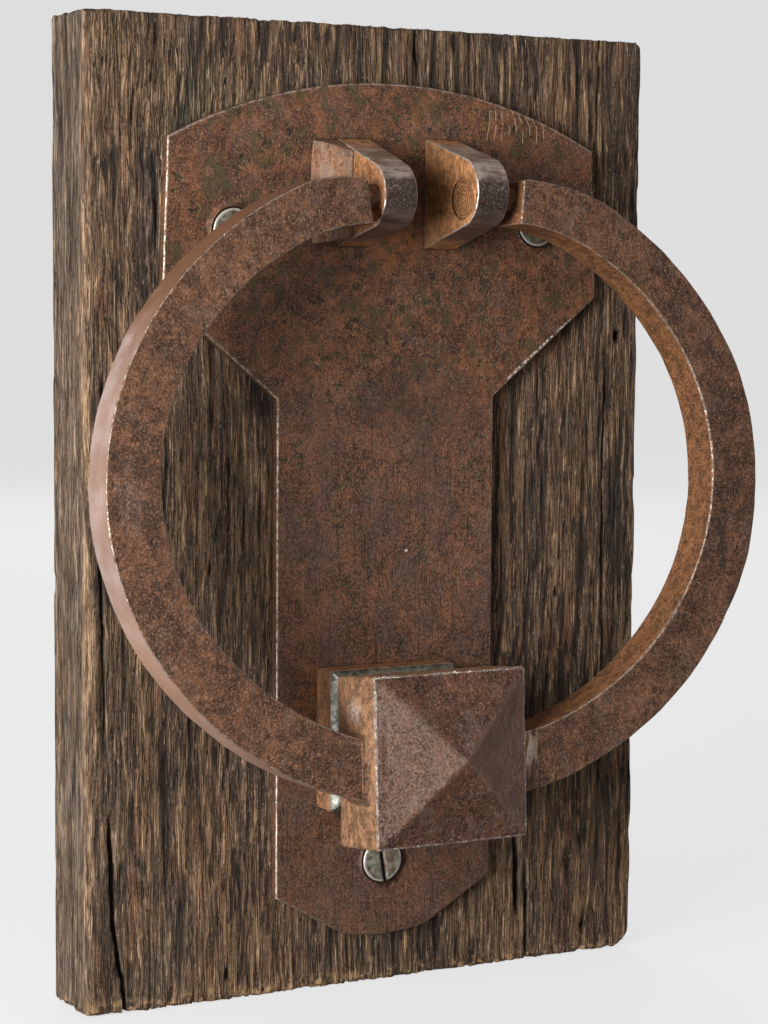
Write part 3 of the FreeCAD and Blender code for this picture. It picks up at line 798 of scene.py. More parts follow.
def pin_piece(side):
    """Turned hinge pin with a flared end that shows fine lathe rings."""
    node = "hinge_pin_left" if side < 0 else "hinge_pin_right"
    start = HINGE_X + side * LUG_GAP
    end = END_GAP + PIN_IN_ARM - LUG_GAP
    profile = [(0.0, -0.02)]
    profile += [(r, 0.05 * math.sin(r * 5.2) - 0.03) for r in np.linspace(0.25, PIN_HEAD - 0.4, 30)]
    profile += [(PIN_HEAD - 0.15, -0.05), (PIN_HEAD, -0.2), (PIN_RADIUS, -1.0), (PIN_RADIUS, -LUG_THICK)]
    profile += [(PIN_RADIUS, -end + 0.8), (PIN_RADIUS - 0.8, -end), (0.0, -end)]
    count, points = 72, []
    for r, depth in profile:
        for k in range(count):
            turn = 2 * math.pi * k / count
            points.append((start - side * depth, PIN_Y + r * math.cos(turn), HINGE_Z + r * math.sin(turn)))
    faces = wall_faces(range(0, len(points), count), count, side < 0)
    mesh_points, mesh_faces = merge_poles(points, faces, count, len(profile))
    return make_piece("turned_" + node, open_ring(mesh_points), mesh_faces, RING_BODY, node)


def merge_poles(points, faces, count, rows):
    """Joins the first and the last ring of a turned shape, which have no radius, into single points."""
    first, last = 0, (rows - 1) * count
    keep = {k: k for k in range(len(points))}
    for k in range(count):
        keep[first + k], keep[last + k] = first, last
    cleaned = []
    for face in faces:
        corners = []
        for k in face:
            if keep[k] not in corners:
                corners.append(keep[k])
        if len(corners) > 2:
            cleaned.append(tuple(corners))
    used = sorted({k for face in cleaned for k in face})
    place = {k: n for n, k in enumerate(used)}
    return np.array(points)[used], [tuple(place[k] for k in face) for face in cleaned]


def weld_fillet():
    """Hollow fillet that runs round the left arm where it enters the boss."""
    node, side, leg = "weld_bead_left", -1, FILLET_LEG
    face_x = BOSS_X + side * BOSS_HALF
    rings, marks = [], []
    for k in range(9):
        t = k / 8
        out = leg * t
        swell = leg * (1 - math.sqrt(max(0.0, 1 - (1 - t) ** 2)))
        x = face_x + side * (out - 0.7)
        high = oval_point(INNER, oval_turn(INNER, x, False))[1]
        low = oval_point(OUTER, oval_turn(OUTER, x, False))[1]
        middle = ((high + low) / 2, RING_BACK + RING_DEPTH / 2)
        loop, mark = bar_section(high - low, RING_DEPTH, 1.6 + swell * 0.6, -swell - 0.05)
        rings.append([(x, -(middle[1] + b), middle[0] + a) for a, b in loop])
        marks += [0.5 if 3 <= k <= 6 else 0.1] * len(loop)
    count, points, faces = len(rings[0]), [p for ring in rings for p in ring], []
    for r in range(len(rings) - 1):
        for k in range(count):
            n = (k + 1) % count
            faces.append((r * count + k, (r + 1) * count + k, (r + 1) * count + n, r * count + n))
    faces.append(tuple(range(count)))
    faces.append(tuple(range((len(rings) - 1) * count, len(rings) * count))[::-1])
    points = np.array(points)
    moved = roughen(points, faces, 2.6, 0.2, 111)
    return make_piece("fillet_" + node, open_ring(moved), faces, RING_BODY, node,
                      {"edge": np.array(marks)})


def ground_weld():
    """Weld in the front of the right arm, ground to a slope that falls towards the boss."""
    node = "weld_bead_right"
    start, end = BOSS_X + BOSS_HALF - 0.4, BOSS_X + BOSS_HALF + GROUND_REACH
    xs = np.linspace(start, end, 9)
    lower = [(x, oval_point(OUTER, oval_turn(OUTER, x, False))[1] + 0.25) for x in xs]
    upper = [(x, oval_point(INNER, oval_turn(INNER, x, False))[1] - 0.25) for x in xs]
    outline = along(lower + upper[::-1], 0.7)

    def slope(places):
        ridges = noise(np.stack([places[:, 0] / 0.8, places[:, 1] / 9, places[:, 1] * 0], 1), 117)
        fall = GROUND_DEPTH * 0.96 * np.clip((end - places[:, 0]) / (end - start), 0, 1)
        return RING_FRONT - fall + 0.09 * ridges - 0.1

    rows = [(outline, RING_FRONT - GROUND_DEPTH - 0.6, 0.0), (outline, slope(outline) - 0.4, 0.0)]
    for distance, down in ((0.08, 0.15), (0.3, 0.03), (0.5, 0.0)):
        loop = inset(outline, distance)
        rows.append((loop, slope(loop) - down, 0.8))
    points, faces, edge = solid(rows, spacing=0.6, top=slope)
    lip = smooth(points[:, 0], end - 1.6, end - 0.4)
    place = open_ring(front_axes(points))
    return make_piece("ground_" + node, place, faces, RING_BODY, node,
                      {"edge": np.maximum(edge, lip * 0.8)})


# ------------------------------------------------------------------ materials

def tone(red, green, blue):
    """A display colour, 0 to 255, as the linear colour that a shader takes."""
    display = (red, green, blue)
    return tuple(((c / 255 + 0.055) / 1.055) ** 2.4 if c > 10 else c / 255 / 12.92 for c in display) + (1.0,)


class Graph:
    """A material's nodes, written as expressions. Sizes are in millimetres."""

    def __init__(self, name):
        self.material = bpy.data.materials.new(name)
        self.material.use_nodes = True
        self.tree = self.material.node_tree
        self.tree.nodes.clear()
        self.shader = self.node("ShaderNodeBsdfPrincipled")
        out = self.node("ShaderNodeOutputMaterial")
        self.tree.links.new(self.shader.outputs[0], out.inputs[0])
        coord = self.node("ShaderNodeTexCoord")
        self.place = self.vector("SCALE", coord.outputs["Object"], scale=1000)
        self.normal = coord.outputs["Normal"]

    def node(self, kind, inputs=None, **settings):
        made = self.tree.nodes.new(kind)
        for key, value in settings.items():
            setattr(made, key, value)
        for key, value in (inputs or {}).items():
            self.put(made.inputs[key], value)
        return made

    def put(self, socket, value):
        if isinstance(value, bpy.types.NodeSocket):
            self.tree.links.new(value, socket)
        else:
            socket.default_value = value

    def vector(self, kind, a, b=None, scale=None):
        made = self.node("ShaderNodeVectorMath", {0: a}, operation=kind)
        if b is not None:
            self.put(made.inputs[1], b)
        if scale is not None:
            self.put(made.inputs["Scale"], scale)
        return made.outputs["Value" if kind in ("LENGTH", "DOT_PRODUCT", "DISTANCE") else "Vector"]

    def math(self, kind, a, b=0.0, clamp=False):
        return self.node("ShaderNodeMath", {0: a, 1: b}, operation=kind, use_clamp=clamp).outputs[0]

    def split(self, vector):
        return self.node("ShaderNodeSeparateXYZ", {0: vector}).outputs

    def shift(self, amount):
        return self.vector("ADD", self.place, amount)

    def noise(self, size, detail=4.0, rough=0.55, bend=0.0, stretch=None, tall=1, at=None):
        """Noise from 0 to 1 with blobs of about this size, drawn out by stretch, or only upwards by tall.

        at is a socket to read instead of the place, or a shift of the place that gives another pattern."""
        if isinstance(at, tuple):
            at = self.shift(at)
        scaled = self.vector("DIVIDE", at or self.place, tuple(size * s for s in stretch or (1, 1, tall)))
        made = self.node("ShaderNodeTexNoise", {"Vector": scaled, "Scale": 1.0, "Detail": detail,
                                                "Roughness": rough, "Distortion": bend})
        return made.outputs["Fac"]

    def step(self, value, low, high, to_low=0.0, to_high=1.0):
        made = self.node("ShaderNodeMapRange", {0: value, 1: low, 2: high, 3: to_low, 4: to_high},
                         interpolation_type="SMOOTHSTEP")
        return made.outputs[0]

    def mix(self, share, a, b):
        return self.node("ShaderNodeMix", {0: share, 6: a, 7: b}, data_type="RGBA").outputs[2]

    def paint(self, share, over):
        """Lays a display colour or another socket over the colour so far."""
        self.colour = self.mix(share, self.colour, tone(*over) if isinstance(over, tuple) else over)

    def layer(self, field, low, high, share, over):
        """Lays a colour over, from none of it where the field is low to its full share where it is high."""
        self.paint(self.step(field, low, high, 0, share), over)

    def mark(self, name):
        return self.node("ShaderNodeAttribute", attribute_name=name).outputs["Fac"]

    def stroke(self, start, end, width, soft=0.5):
        """1 on a straight stroke between two points of the row frame in millimetres."""
        a, b = Vector(start), Vector(end)
        along = b - a
        away = self.vector("SUBTRACT", self.place, tuple(a))
        share = self.math("DIVIDE", self.vector("DOT_PRODUCT", away, tuple(along)), along.length_squared,
                          clamp=True)
        nearest = self.vector("SCALE", tuple(along), scale=share)
        return self.step(self.vector("DISTANCE", away, nearest), width * (1 + soft), width * (1 - soft))

    def blob(self, centre, radii, soft=0.6):
        """1 in the middle of an egg-shaped region of the row frame, falling softly to 0 at its rim."""
        away = self.vector("DIVIDE", self.vector("SUBTRACT", self.place, centre), radii)
        return self.step(self.vector("LENGTH", away), 1.0, 1.0 - soft)

    def chain(self, kind, values):
        found = values[0]
        for value in values[1:]:
            found = self.math(kind, found, value)
        return found

    def times(self, *values):
        return self.chain("MULTIPLY", values)

    def plus(self, *values):
        return self.chain("ADD", values)

    def minus(self, *values):
        return self.chain("SUBTRACT", values)

    def any(self, *masks):
        return self.chain("MAXIMUM", masks)

    def absolute(self, value):
        return self.math("ABSOLUTE", value)

    def bump(self, height, depth, strength=1.0):
        return self.node("ShaderNodeBump",
                         {"Height": height, "Strength": strength, "Distance": depth * MM}).outputs[0]

    def finish(self, roughness, metallic, normal, specular=0.5):
        for name, value in (("Base Color", self.colour), ("Roughness", roughness), ("Metallic", metallic),
                            ("Normal", normal)):
            self.put(self.shader.inputs[name], value)
        self.shader.inputs["Specular IOR Level"].default_value = specular
        return self.material


def oak_material():
    g = Graph("weathered_oak")
    wander = g.plus(g.times(g.noise(45, 2, tall=1.6), 5.0),
                    g.times(g.noise(9, 2, tall=2.5), 1.6))
    grain = g.vector("ADD", g.place, g.node("ShaderNodeCombineXYZ", {0: wander}).outputs[0])
    broad = g.noise(9, 4, 0.6, tall=7, at=grain)
    streak = g.noise(2.1, 4, 0.6, tall=15, at=grain)
    fibre = g.noise(0.85, 4, 0.68, tall=18, at=grain)
    hair = g.noise(0.38, 3, 0.72, tall=12, at=grain)
    fleck = g.noise(0.7, 2, 0.5, tall=5, at=grain)
    relief, crack, arris = g.mark("relief"), g.mark("crack"), g.mark("arris")
    weave = g.plus(g.times(fibre, 0.62), g.times(hair, 0.38))
    g.colour = g.mix(g.step(broad, 0.36, 0.64), tone(87, 66, 50), tone(122, 94, 68))
    g.layer(g.noise(13, 3, tall=4, at=(40, 0, 7)), 0.52, 0.66, 0.6, (92, 78, 68))
    g.layer(g.noise(5, 3, tall=9, at=(9, 3, 60)), 0.56, 0.68, 0.6, (118, 74, 52))
    g.layer(g.noise(6, 3, tall=8, at=(71, 5, 2)), 0.57, 0.7, 0.5, (104, 84, 50))
    g.layer(streak, 0.53, 0.68, 0.5, (146, 118, 92))
    g.layer(weave, 0.53, 0.61, 0.85, (194, 157, 119))
    g.layer(weave, 0.475, 0.40, 0.85, (36, 28, 22))
    grooves = []
    for size, length, width in ((1.9, 26, 0.030), (3.1, 18, 0.022), (1.3, 30, 0.026)):
        field = g.noise(size, 2, 0.5, stretch=(1, 1, length), at=g.vector("ADD", grain, (7 * size, 0, 13)))
        away = g.absolute(g.minus(field, 0.5))
        grooves.append(g.step(away, width, width * 0.3))
    groove = g.times(g.any(*grooves), g.step(g.noise(2.2, 3, 0.6, tall=6), 0.36, 0.56, 0.15, 1.0))
    g.paint(g.times(groove, 0.72), (28, 21, 16))
    dust = g.noise(0.5, 4, 0.75, tall=1.8, at=(2, 30, 5))
    g.layer(dust, 0.55, 0.66, 0.45, (176, 150, 122))
    g.layer(dust, 0.45, 0.34, 0.5, (30, 23, 18))
    g.layer(relief, 0.42, 0.16, 0.8, (32, 25, 21))
    g.layer(relief, 0.66, 0.95, 0.35, (150, 122, 96))
    g.layer(fleck, 0.64, 0.72, 0.75, (26, 20, 17))
    g.paint(g.times(g.step(fleck, 0.36, 0.29), g.step(streak, 0.45, 0.6), 0.7), (176, 150, 124))
    old = g.blob((-45, BOARD_LOW[1], 108), (22, 12, 12))
    g.paint(g.times(old, g.step(weave, 0.47, 0.6, 0, 0.5)), (172, 152, 116))
    facing = g.split(g.normal)[0]
    left_side = g.times(g.step(facing, -0.4, -0.9), g.step(g.noise(4, 3, tall=8), 0.3, 0.6, 0.1, 0.5))
    g.paint(left_side, g.mix(g.step(weave, 0.42, 0.58), tone(96, 80, 68), tone(176, 156, 138)))
    worn = g.times(arris, g.step(g.noise(2.6, 3, tall=5), 0.40, 0.60, 0.15, 0.95))
    g.paint(worn, g.mix(g.step(weave, 0.4, 0.6), tone(122, 92, 68), tone(214, 178, 142)))
    x, y, z = g.split(g.place)
    ring_line = g.plus(g.plus(y, g.times(x, 0.12)), g.times(g.noise(14, 3), 9.0))
    year = g.math("SINE", g.times(ring_line, 2.4))
    end = g.mix(g.step(year, -0.6, 0.7), tone(62, 48, 39), tone(116, 94, 76))
    end = g.mix(g.step(g.noise(1.1, 4, 0.7), 0.54, 0.66, 0, 0.8), end, tone(34, 27, 23))
    end = g.mix(g.step(g.noise(0.7, 3, 0.7, stretch=(1, 9, 1)), 0.56, 0.66, 0, 0.5), end, tone(160, 136, 112))
    splinters = g.times(g.step(z, BOARD_LOW[2] + 5, BOARD_LOW[2] + 1),
                        g.step(g.noise(2.4, 4, 0.7), 0.50, 0.60))
    g.paint(g.times(splinters, 0.7), (196, 158, 116))
    end_face = g.step(g.absolute(g.split(g.normal)[2]), 0.6, 0.85)
    g.paint(end_face, end)
    g.layer(crack, 0.2, 0.8, 1, (13, 10, 9))
    height = g.plus(g.times(fibre, 0.8), g.times(hair, 0.45))
    height = g.plus(height, g.times(streak, 0.5))
    height = g.minus(height, g.step(fleck, 0.62, 0.74, 0, 0.5))
    height = g.minus(height, g.times(groove, 0.55))
    roughness = g.step(weave, 0.3, 0.8, 0.78, 0.55)
    return g.finish(roughness, 0.0, g.bump(height, 1.5), specular=0.25)


def iron(name, dark=(66, 43, 32), mid=(102, 67, 48), warm=(130, 80, 50), cloud=(112, 92, 82), clouds=0.3,
         pits=0.4, rust=0.5, flank=(136, 92, 58), flank_share=0.85, grain=0.5, grain_depth=0.3, metallic=0.1,
         rough=(0.48, 0.68), edge_strength=0.9, extra=None):
    """Rusted, handled iron: mottled browns, grey clouds, dark pits, rust on the side faces and worn edges."""
    g = Graph(name)
    patches = g.noise(13, 5, 0.66, bend=0.5)
    mottle = g.noise(2.6, 5, 0.75, at=(31, 7, 12))
    speck = g.noise(grain, 3, 0.75, at=(3, 71, 19))
    fleck = g.noise(grain * 2.2, 3, 0.7, at=(63, 1, 29))
    spots = g.noise(3.0, 4, 0.65, at=(13, 3, 51))
    g.colour = g.mix(g.step(patches, 0.40, 0.60), tone(*dark), tone(*mid))
    g.layer(mottle, 0.51, 0.63, rust, warm)
    umber = g.noise(5, 4, 0.7, at=(17, 60, 3))
    g.layer(umber, 0.53, 0.62, 0.4, tuple(int(c * 1.3) for c in mid))
    g.layer(umber, 0.46, 0.38, 0.5, tuple(int(c * 0.8) for c in dark))
    g.layer(mottle, 0.47, 0.38, 0.6, tuple(int(c * 0.7) for c in dark))
    greyed = g.times(g.step(g.noise(8, 4, 0.65, at=(81, 22, 40)), 0.52, 0.64), clouds)
    g.paint(greyed, cloud)
    pit = g.times(g.step(spots, 0.56, 0.62), g.step(g.noise(16, 2, at=(5, 5, 90)), 0.38, 0.50))
    g.paint(g.times(pit, pits), g.mix(g.step(mottle, 0.45, 0.55), tone(40, 38, 28), tone(70, 68, 44)))
    facing = g.absolute(g.split(g.normal)[1])
    side = g.times(g.step(facing, 0.7, 0.3, 0, flank_share), g.step(patches, 0.2, 0.5, 0.7, 1.0))
    rusty = g.mix(g.step(mottle, 0.40, 0.60), tone(*(int(c * 0.68) for c in flank)), tone(*flank))
    g.paint(side, rusty)
    g.layer(fleck, 0.52, 0.64, 0.22, (150, 110, 84))
    g.layer(fleck, 0.48, 0.38, 0.28, (40, 28, 22))
    g.layer(speck, 0.53, 0.66, 0.55, (172, 136, 110))
    g.layer(speck, 0.47, 0.35, 0.6, (30, 21, 16))
    edge = g.times(g.step(g.mark("edge"), 0.6, 1.0), g.step(g.noise(1.6, 4, 0.75), 0.42, 0.58, 0.1, 1.0),
                   edge_strength)
    g.paint(edge, (178, 160, 144))
    shine = g.math("ADD", metallic, g.times(edge, 0.75), clamp=True)
    roughness = g.minus(g.step(mottle, 0.3, 0.7, rough[0], rough[1]), g.times(edge, 0.2))
    height = g.plus(g.times(speck, 0.45), g.plus(g.times(fleck, 0.6), g.times(mottle, 0.6)))
    height = g.minus(height, g.times(pit, 0.5))
    if extra:
        roughness, shine, height = extra(g, roughness, shine, height, edge)
    return g.finish(roughness, shine, g.bump(height, grain_depth), specular=0.3)


def plate_material():
    """Rust-red sheet with file marks, chipped paint-like scuffs, scratches down the stem and a painted
    highlight on its left-facing edges.
    """
    def marks(g, roughness, shine, height, edge):
        face = -PLATE_FACE
        strokes = []
        for k in range(9):
            top, bottom = (33.0 + 1.75 * k, face, 108.6), (32.0 + 2.3 * k, face, 100.6 - 0.1 * k)
            bend = (32.8 + 2.15 * k, face, 104.6)
            strokes += [g.stroke(top, bend, 0.16), g.stroke(bend, bottom, 0.16)]
        filed = g.times(g.any(*strokes), g.step(g.noise(2.2, 3), 0.4, 0.55))
        chips = g.any(*(g.stroke(a, b, w, 0.4) for a, b, w in (
            ((PLATE_X + 38, face, 35.5), (PLATE_X + 44, face, 40.5), 0.5),
            ((PLATE_X + 45, face, 41.5), (PLATE_X + 58, face, 52), 0.3))))
        chips = g.times(chips, g.step(g.noise(1.1, 2), 0.42, 0.55))
        chips = g.any(chips, g.blob((8.0, face, -11.0), (0.7, 3, 0.5)))
        z = g.split(g.place)[2]
        stem = g.step(z, 40, 10)
        scored = g.times(stem, g.step(g.noise(1.0, 3, 0.6, tall=14), 0.60, 0.68, 0, 0.55))
        olive = g.times(g.step(g.noise(4.5, 4, 0.7, tall=1.5, at=(51, 9, 4)), 0.53, 0.62),
                        g.step(z, 20, 50, 0.25, 0.7))
        g.paint(olive, (72, 66, 42))
        rusted = g.any(g.blob((3, face, 71), (12, 3, 9)), g.blob((-17, face, -58), (13, 3, 26)))
        rusted = g.times(rusted, g.step(g.noise(3, 4, 0.7, at=(2, 8, 14)), 0.40, 0.58, 0, 0.75))
        g.paint(rusted, (144, 92, 52))
        shade = g.times(g.blob((11, face, 28), (24, 3, 17), 0.9),
                        g.step(g.noise(5, 4, 0.65), 0.36, 0.56, 0, 0.6))
        g.paint(shade, (60, 46, 42))
        foot = g.step(z, -70, -92, 0, 0.35)
        g.paint(foot, (78, 54, 40))
        low_cloud = g.times(stem, g.step(g.noise(12, 4, 0.6, tall=1.6, at=(1, 1, 33)), 0.46, 0.62, 0, 0.5))
        g.paint(low_cloud, (84, 66, 62))
        grit = g.noise(0.7, 3, 0.8, at=(7, 27, 67))
        g.paint(g.times(stem, g.step(grit, 0.52, 0.62, 0, 0.5)), (136, 106, 86))
        g.paint(g.times(stem, g.step(grit, 0.48, 0.38, 0, 0.5)), (50, 36, 30))
        g.paint(scored, (46, 34, 30))
        g.paint(g.times(filed, 0.85), (178, 148, 108))
        g.paint(chips, (214, 200, 188))
        # Painted highlight: worn edges that face left are painted near white, as if the lamp caught them.
        left_edge_highlight = g.times(edge, g.step(g.split(g.normal)[0], -0.25, -0.6))
        g.paint(left_edge_highlight, (216, 196, 178))
        shine = g.math("SUBTRACT", shine, g.times(left_edge_highlight, 0.5), clamp=True)
        return roughness, shine, g.minus(height, g.any(g.times(filed, 0.4), g.times(scored, 0.5)))
    return iron("rusty_plate", dark=(76, 50, 37), mid=(116, 75, 52), warm=(142, 84, 52), clouds=0.3, pits=0.9,
                rust=0.55, flank=(104, 70, 48), flank_share=0.5, edge_strength=1.0, extra=marks)


def lug_material():
    """Iron lug: filed, greyed nose, painted lighter above its middle and darker below as painted light, with
    a pitted rust band round its front; scored orange sides, painted darker towards the plate as painted
    shade; worn edges painted near white, partly as a painted highlight.
    """
    def nose(g, roughness, shine, height, edge):
        band, nose_z = g.mark("band"), 84.2
        _, y, z = g.split(g.place)
        away = g.absolute(g.minus(z, nose_z))
        polished = g.times(band, g.step(y, PIN_Y + 18, PIN_Y + 9))
        middle = g.step(g.plus(away, g.times(g.noise(1.6, 4), 4.0)), 7.4, 5.0)
        worn = g.step(g.noise(2.4, 4, 0.7, stretch=(3, 1, 1)), 0.38, 0.62)
        # Painted light: the polished nose is painted pale grey above its middle and darker grey below, as
        # light from above would fall.
        above = g.mix(worn, tone(134, 114, 104), tone(204, 186, 174))
        grey = g.mix(g.step(z, nose_z - 2, nose_z + 6), g.mix(worn, tone(84, 70, 64), tone(120, 104, 98)),
                     above)
        g.paint(g.times(polished, 0.8), grey)
        # Worn edges painted near white: partly bare metal, partly a painted highlight.
        g.paint(g.times(edge, 0.8), (232, 222, 214))
        pitted = g.times(band, middle, g.step(g.noise(0.8, 3, 0.7), 0.35, 0.55, 0.6, 1.0))
        g.paint(pitted, (54, 40, 33))
        glint = g.times(band, middle, g.step(g.noise(0.5, 3, 0.75, at=(4, 4, 4)), 0.58, 0.68))
        g.paint(glint, (150, 138, 130))
        scratch = g.times(g.stroke((13.5, -54.5, 82.7), (20.5, -54.5, 82.2), 0.45),
                          g.step(g.noise(0.9, 3), 0.4, 0.6))
        g.paint(scratch, (176, 92, 62))
        lines = g.noise(0.55, 3, 0.6, tall=7)
        flat = g.minus(1.0, band)
        g.paint(g.times(flat, g.step(lines, 0.5, 0.68, 0, 0.45)), (170, 120, 76))
        g.paint(g.times(flat, g.step(lines, 0.48, 0.38, 0, 0.6)), (74, 50, 30))
        # Painted shade: the flat sides are darkened towards the plate.
        deep = g.times(flat, g.step(y, PIN_Y - 1, -PLATE_FACE, 0, 0.5))
        g.paint(deep, (96, 74, 48))
        clean = g.times(polished, g.minus(1.0, pitted))
        shine = g.math("ADD", shine, g.times(clean, 0.45), clamp=True)
        roughness = g.minus(roughness, g.times(clean, 0.16))
        height = g.times(height, g.step(clean, 0, 1, 1.0, 0.3))
        return roughness, shine, g.minus(height, g.times(pitted, 0.3))
    return iron("lug_iron", mid=(104, 70, 52), flank=(208, 144, 92), flank_share=0.95, pits=0.3, clouds=0.1,
                edge_strength=1.0, extra=nose)


def weld_material():
    """Weld metal filed bright, browned over in streaks; the ground slope by the boss is painted bright orange
    with near-white streaks, partly filed metal and partly painted light and reflection.
    """
    def ground(g, roughness, shine, height, edge):
        lines = g.noise(0.7, 3, 0.6, stretch=(1.6, 1.6, 10))
        broad = g.noise(2.6, 3, 0.6, tall=3, at=(4, 40, 4))
        g.layer(broad, 0.42, 0.62, 0.75, (124, 102, 88))
        g.layer(lines, 0.5, 0.62, 0.55, (150, 116, 84))
        g.paint(g.times(edge, 0.6), (200, 178, 156))
        # Ground slope by the boss: bright orange, partly the filed weld's colour and partly painted light;
        # near-white streaks are painted reflection.
        slope = g.blob((BOSS_X + BOSS_HALF + 3, -RING_FRONT, BOSS_Z), (7, 9, 14), 0.3)
        g.paint(g.times(slope, 0.7), (190, 122, 72))
        g.paint(g.times(slope, g.step(lines, 0.44, 0.56)), (255, 244, 230))
        return roughness, shine, g.plus(height, g.times(lines, 0.3))
    return iron("ground_weld", dark=(84, 56, 38), mid=(124, 86, 60), warm=(152, 100, 60), flank=(136, 96, 66),
                flank_share=0.4, pits=0.15, clouds=0.2, metallic=0.2, edge_strength=0.7, extra=ground)


def strike_material():
    """Block with its bevels worn to bare, greenish steel."""
    def bevels(g, roughness, shine, height, edge):
        bright = g.times(g.mark("edge"), g.step(g.noise(4, 3), 0.25, 0.45, 0.75, 1.0))
        steel = g.mix(g.step(g.noise(2.4, 4, 0.7), 0.34, 0.62), tone(92, 92, 84), tone(164, 162, 150))
        g.paint(bright, steel)
        shine = g.math("ADD", shine, g.times(bright, 0.65), clamp=True)
        roughness = g.mix(bright, roughness, (0.38, 0.38, 0.38, 1))
        return roughness, shine, g.times(height, g.step(bright, 0, 1, 1.0, 0.2))
    return iron("strike_iron", flank=(176, 124, 84), flank_share=0.95, pits=0.2, extra=bevels)


def screw_material():
    """Dull zinc with rust in patches, a rubbed rim and a slot floor painted near black as painted shade."""
    g = Graph("screw_steel")
    mottle = g.noise(1.8, 5, 0.65)
    g.colour = g.mix(g.step(mottle, 0.35, 0.65), tone(104, 102, 86), tone(164, 160, 142))
    g.layer(g.noise(2.4, 3), 0.52, 0.66, 0.75, (104, 62, 40))
    reddened = g.times(g.blob((3.4, -PLATE_FACE, -95.5), (2.2, 3, 5), 0.7),
                       g.step(g.noise(1.2, 3), 0.4, 0.55, 0, 0.8))
    g.paint(reddened, (146, 96, 72))
    edge = g.times(g.mark("edge"), g.step(g.noise(1.5, 3), 0.3, 0.5))
    g.paint(edge, (212, 204, 194))
    # Painted shade: the slot's floor is painted near black.
    slot = g.mark("slot")
    g.paint(slot, (24, 18, 14))
    scuff = g.noise(0.35, 3, 0.6, stretch=(9, 1, 1))
    height = g.plus(g.times(mottle, 0.5), g.times(scuff, 0.4))
    shine = g.times(0.55, g.minus(1.0, slot))
    return g.finish(g.step(mottle, 0.3, 0.7, 0.3, 0.5), shine, g.bump(height, 0.08, 0.8))


def pin_material():
    """Turned pin with uneven lathe rings on its flared end."""
    def turned(g, roughness, shine, height, edge):
        _, y, z = g.split(g.vector("SUBTRACT", g.place, (0, PIN_Y, HINGE_Z)))
        far = g.math("SQRT", g.plus(g.times(y, y), g.times(z, z)))
        rings = g.math("SINE", g.plus(g.times(far, 6.0), g.times(g.noise(2.0, 3), 7.0)))
        g.layer(rings, -0.2, 0.9, 0.45, (172, 118, 72))
        g.layer(rings, -0.4, -1.0, 0.4, (70, 46, 30))
        return roughness, shine, g.plus(height, g.times(rings, 0.12))
    return iron("pin_iron", dark=(92, 60, 40), mid=(132, 90, 60), flank=(150, 102, 66), pits=0.2, clouds=0.1,
                metallic=0.2, extra=turned)


def ring_material():
    """Forged bar: brown face, rubbed patches, orange inner side and a smooth outer side painted pale, partly
    as painted light.
    """
    def forged(g, roughness, shine, height, edge):
        out = g.mark("outer")
        facing = g.absolute(g.split(g.normal)[1])
        rim = g.times(g.step(out, 0.9, 0.99), g.step(facing, 0.5, 0.2))
        # Outer side painted pale, partly rubbed metal and partly painted light; browner towards the top and
        # warmer at the bottom.
        z = g.plus(g.split(g.place)[2], g.times(g.minus(g.noise(6, 3), 0.5), 30.0))
        pale = g.mix(g.step(g.noise(16, 3), 0.35, 0.65), tone(152, 124, 110), tone(180, 160, 154))
        pale = g.mix(g.step(z, -12, -30, 0, 0.7), pale, tone(168, 130, 108))
        pale = g.mix(g.step(z, 36, 62), pale, tone(120, 84, 62))
        g.paint(g.times(rim, 0.9), pale)
        rubbed = g.times(g.blob((-86.0, -RING_FRONT, 7), (5, 12, 13), 0.9),
                         g.step(g.noise(0.9, 4, 0.75), 0.40, 0.62))
        g.paint(g.times(rubbed, 0.6), (146, 126, 116))
        scratch = g.any(g.stroke((-34.7, -RING_FRONT, -51.4), (-33.7, -RING_FRONT, -55.2), 0.3),
                        g.stroke((-33.7, -RING_FRONT, -55.2), (-30.3, -RING_FRONT, -58.6), 0.22))
        g.paint(g.times(scratch, g.step(g.noise(1.0, 3), 0.36, 0.52)), (206, 176, 150))
        stain = g.times(g.blob((88.6, -RING_FRONT, -7), (2.6, 12, 20)),
                        g.step(g.noise(1.6, 4, 0.7), 0.38, 0.55))
        g.paint(g.times(stain, 0.75), (44, 38, 28))
        roughness = g.minus(roughness, g.times(g.any(rim, rubbed), 0.15))
        return roughness, shine, g.times(height, g.step(rim, 0, 1, 1.0, 0.3))
    return iron("ring_iron", dark=(72, 48, 36), mid=(108, 74, 54), warm=(138, 90, 60), flank=(142, 92, 54),
                pits=0.25, clouds=0.35, extra=forged)


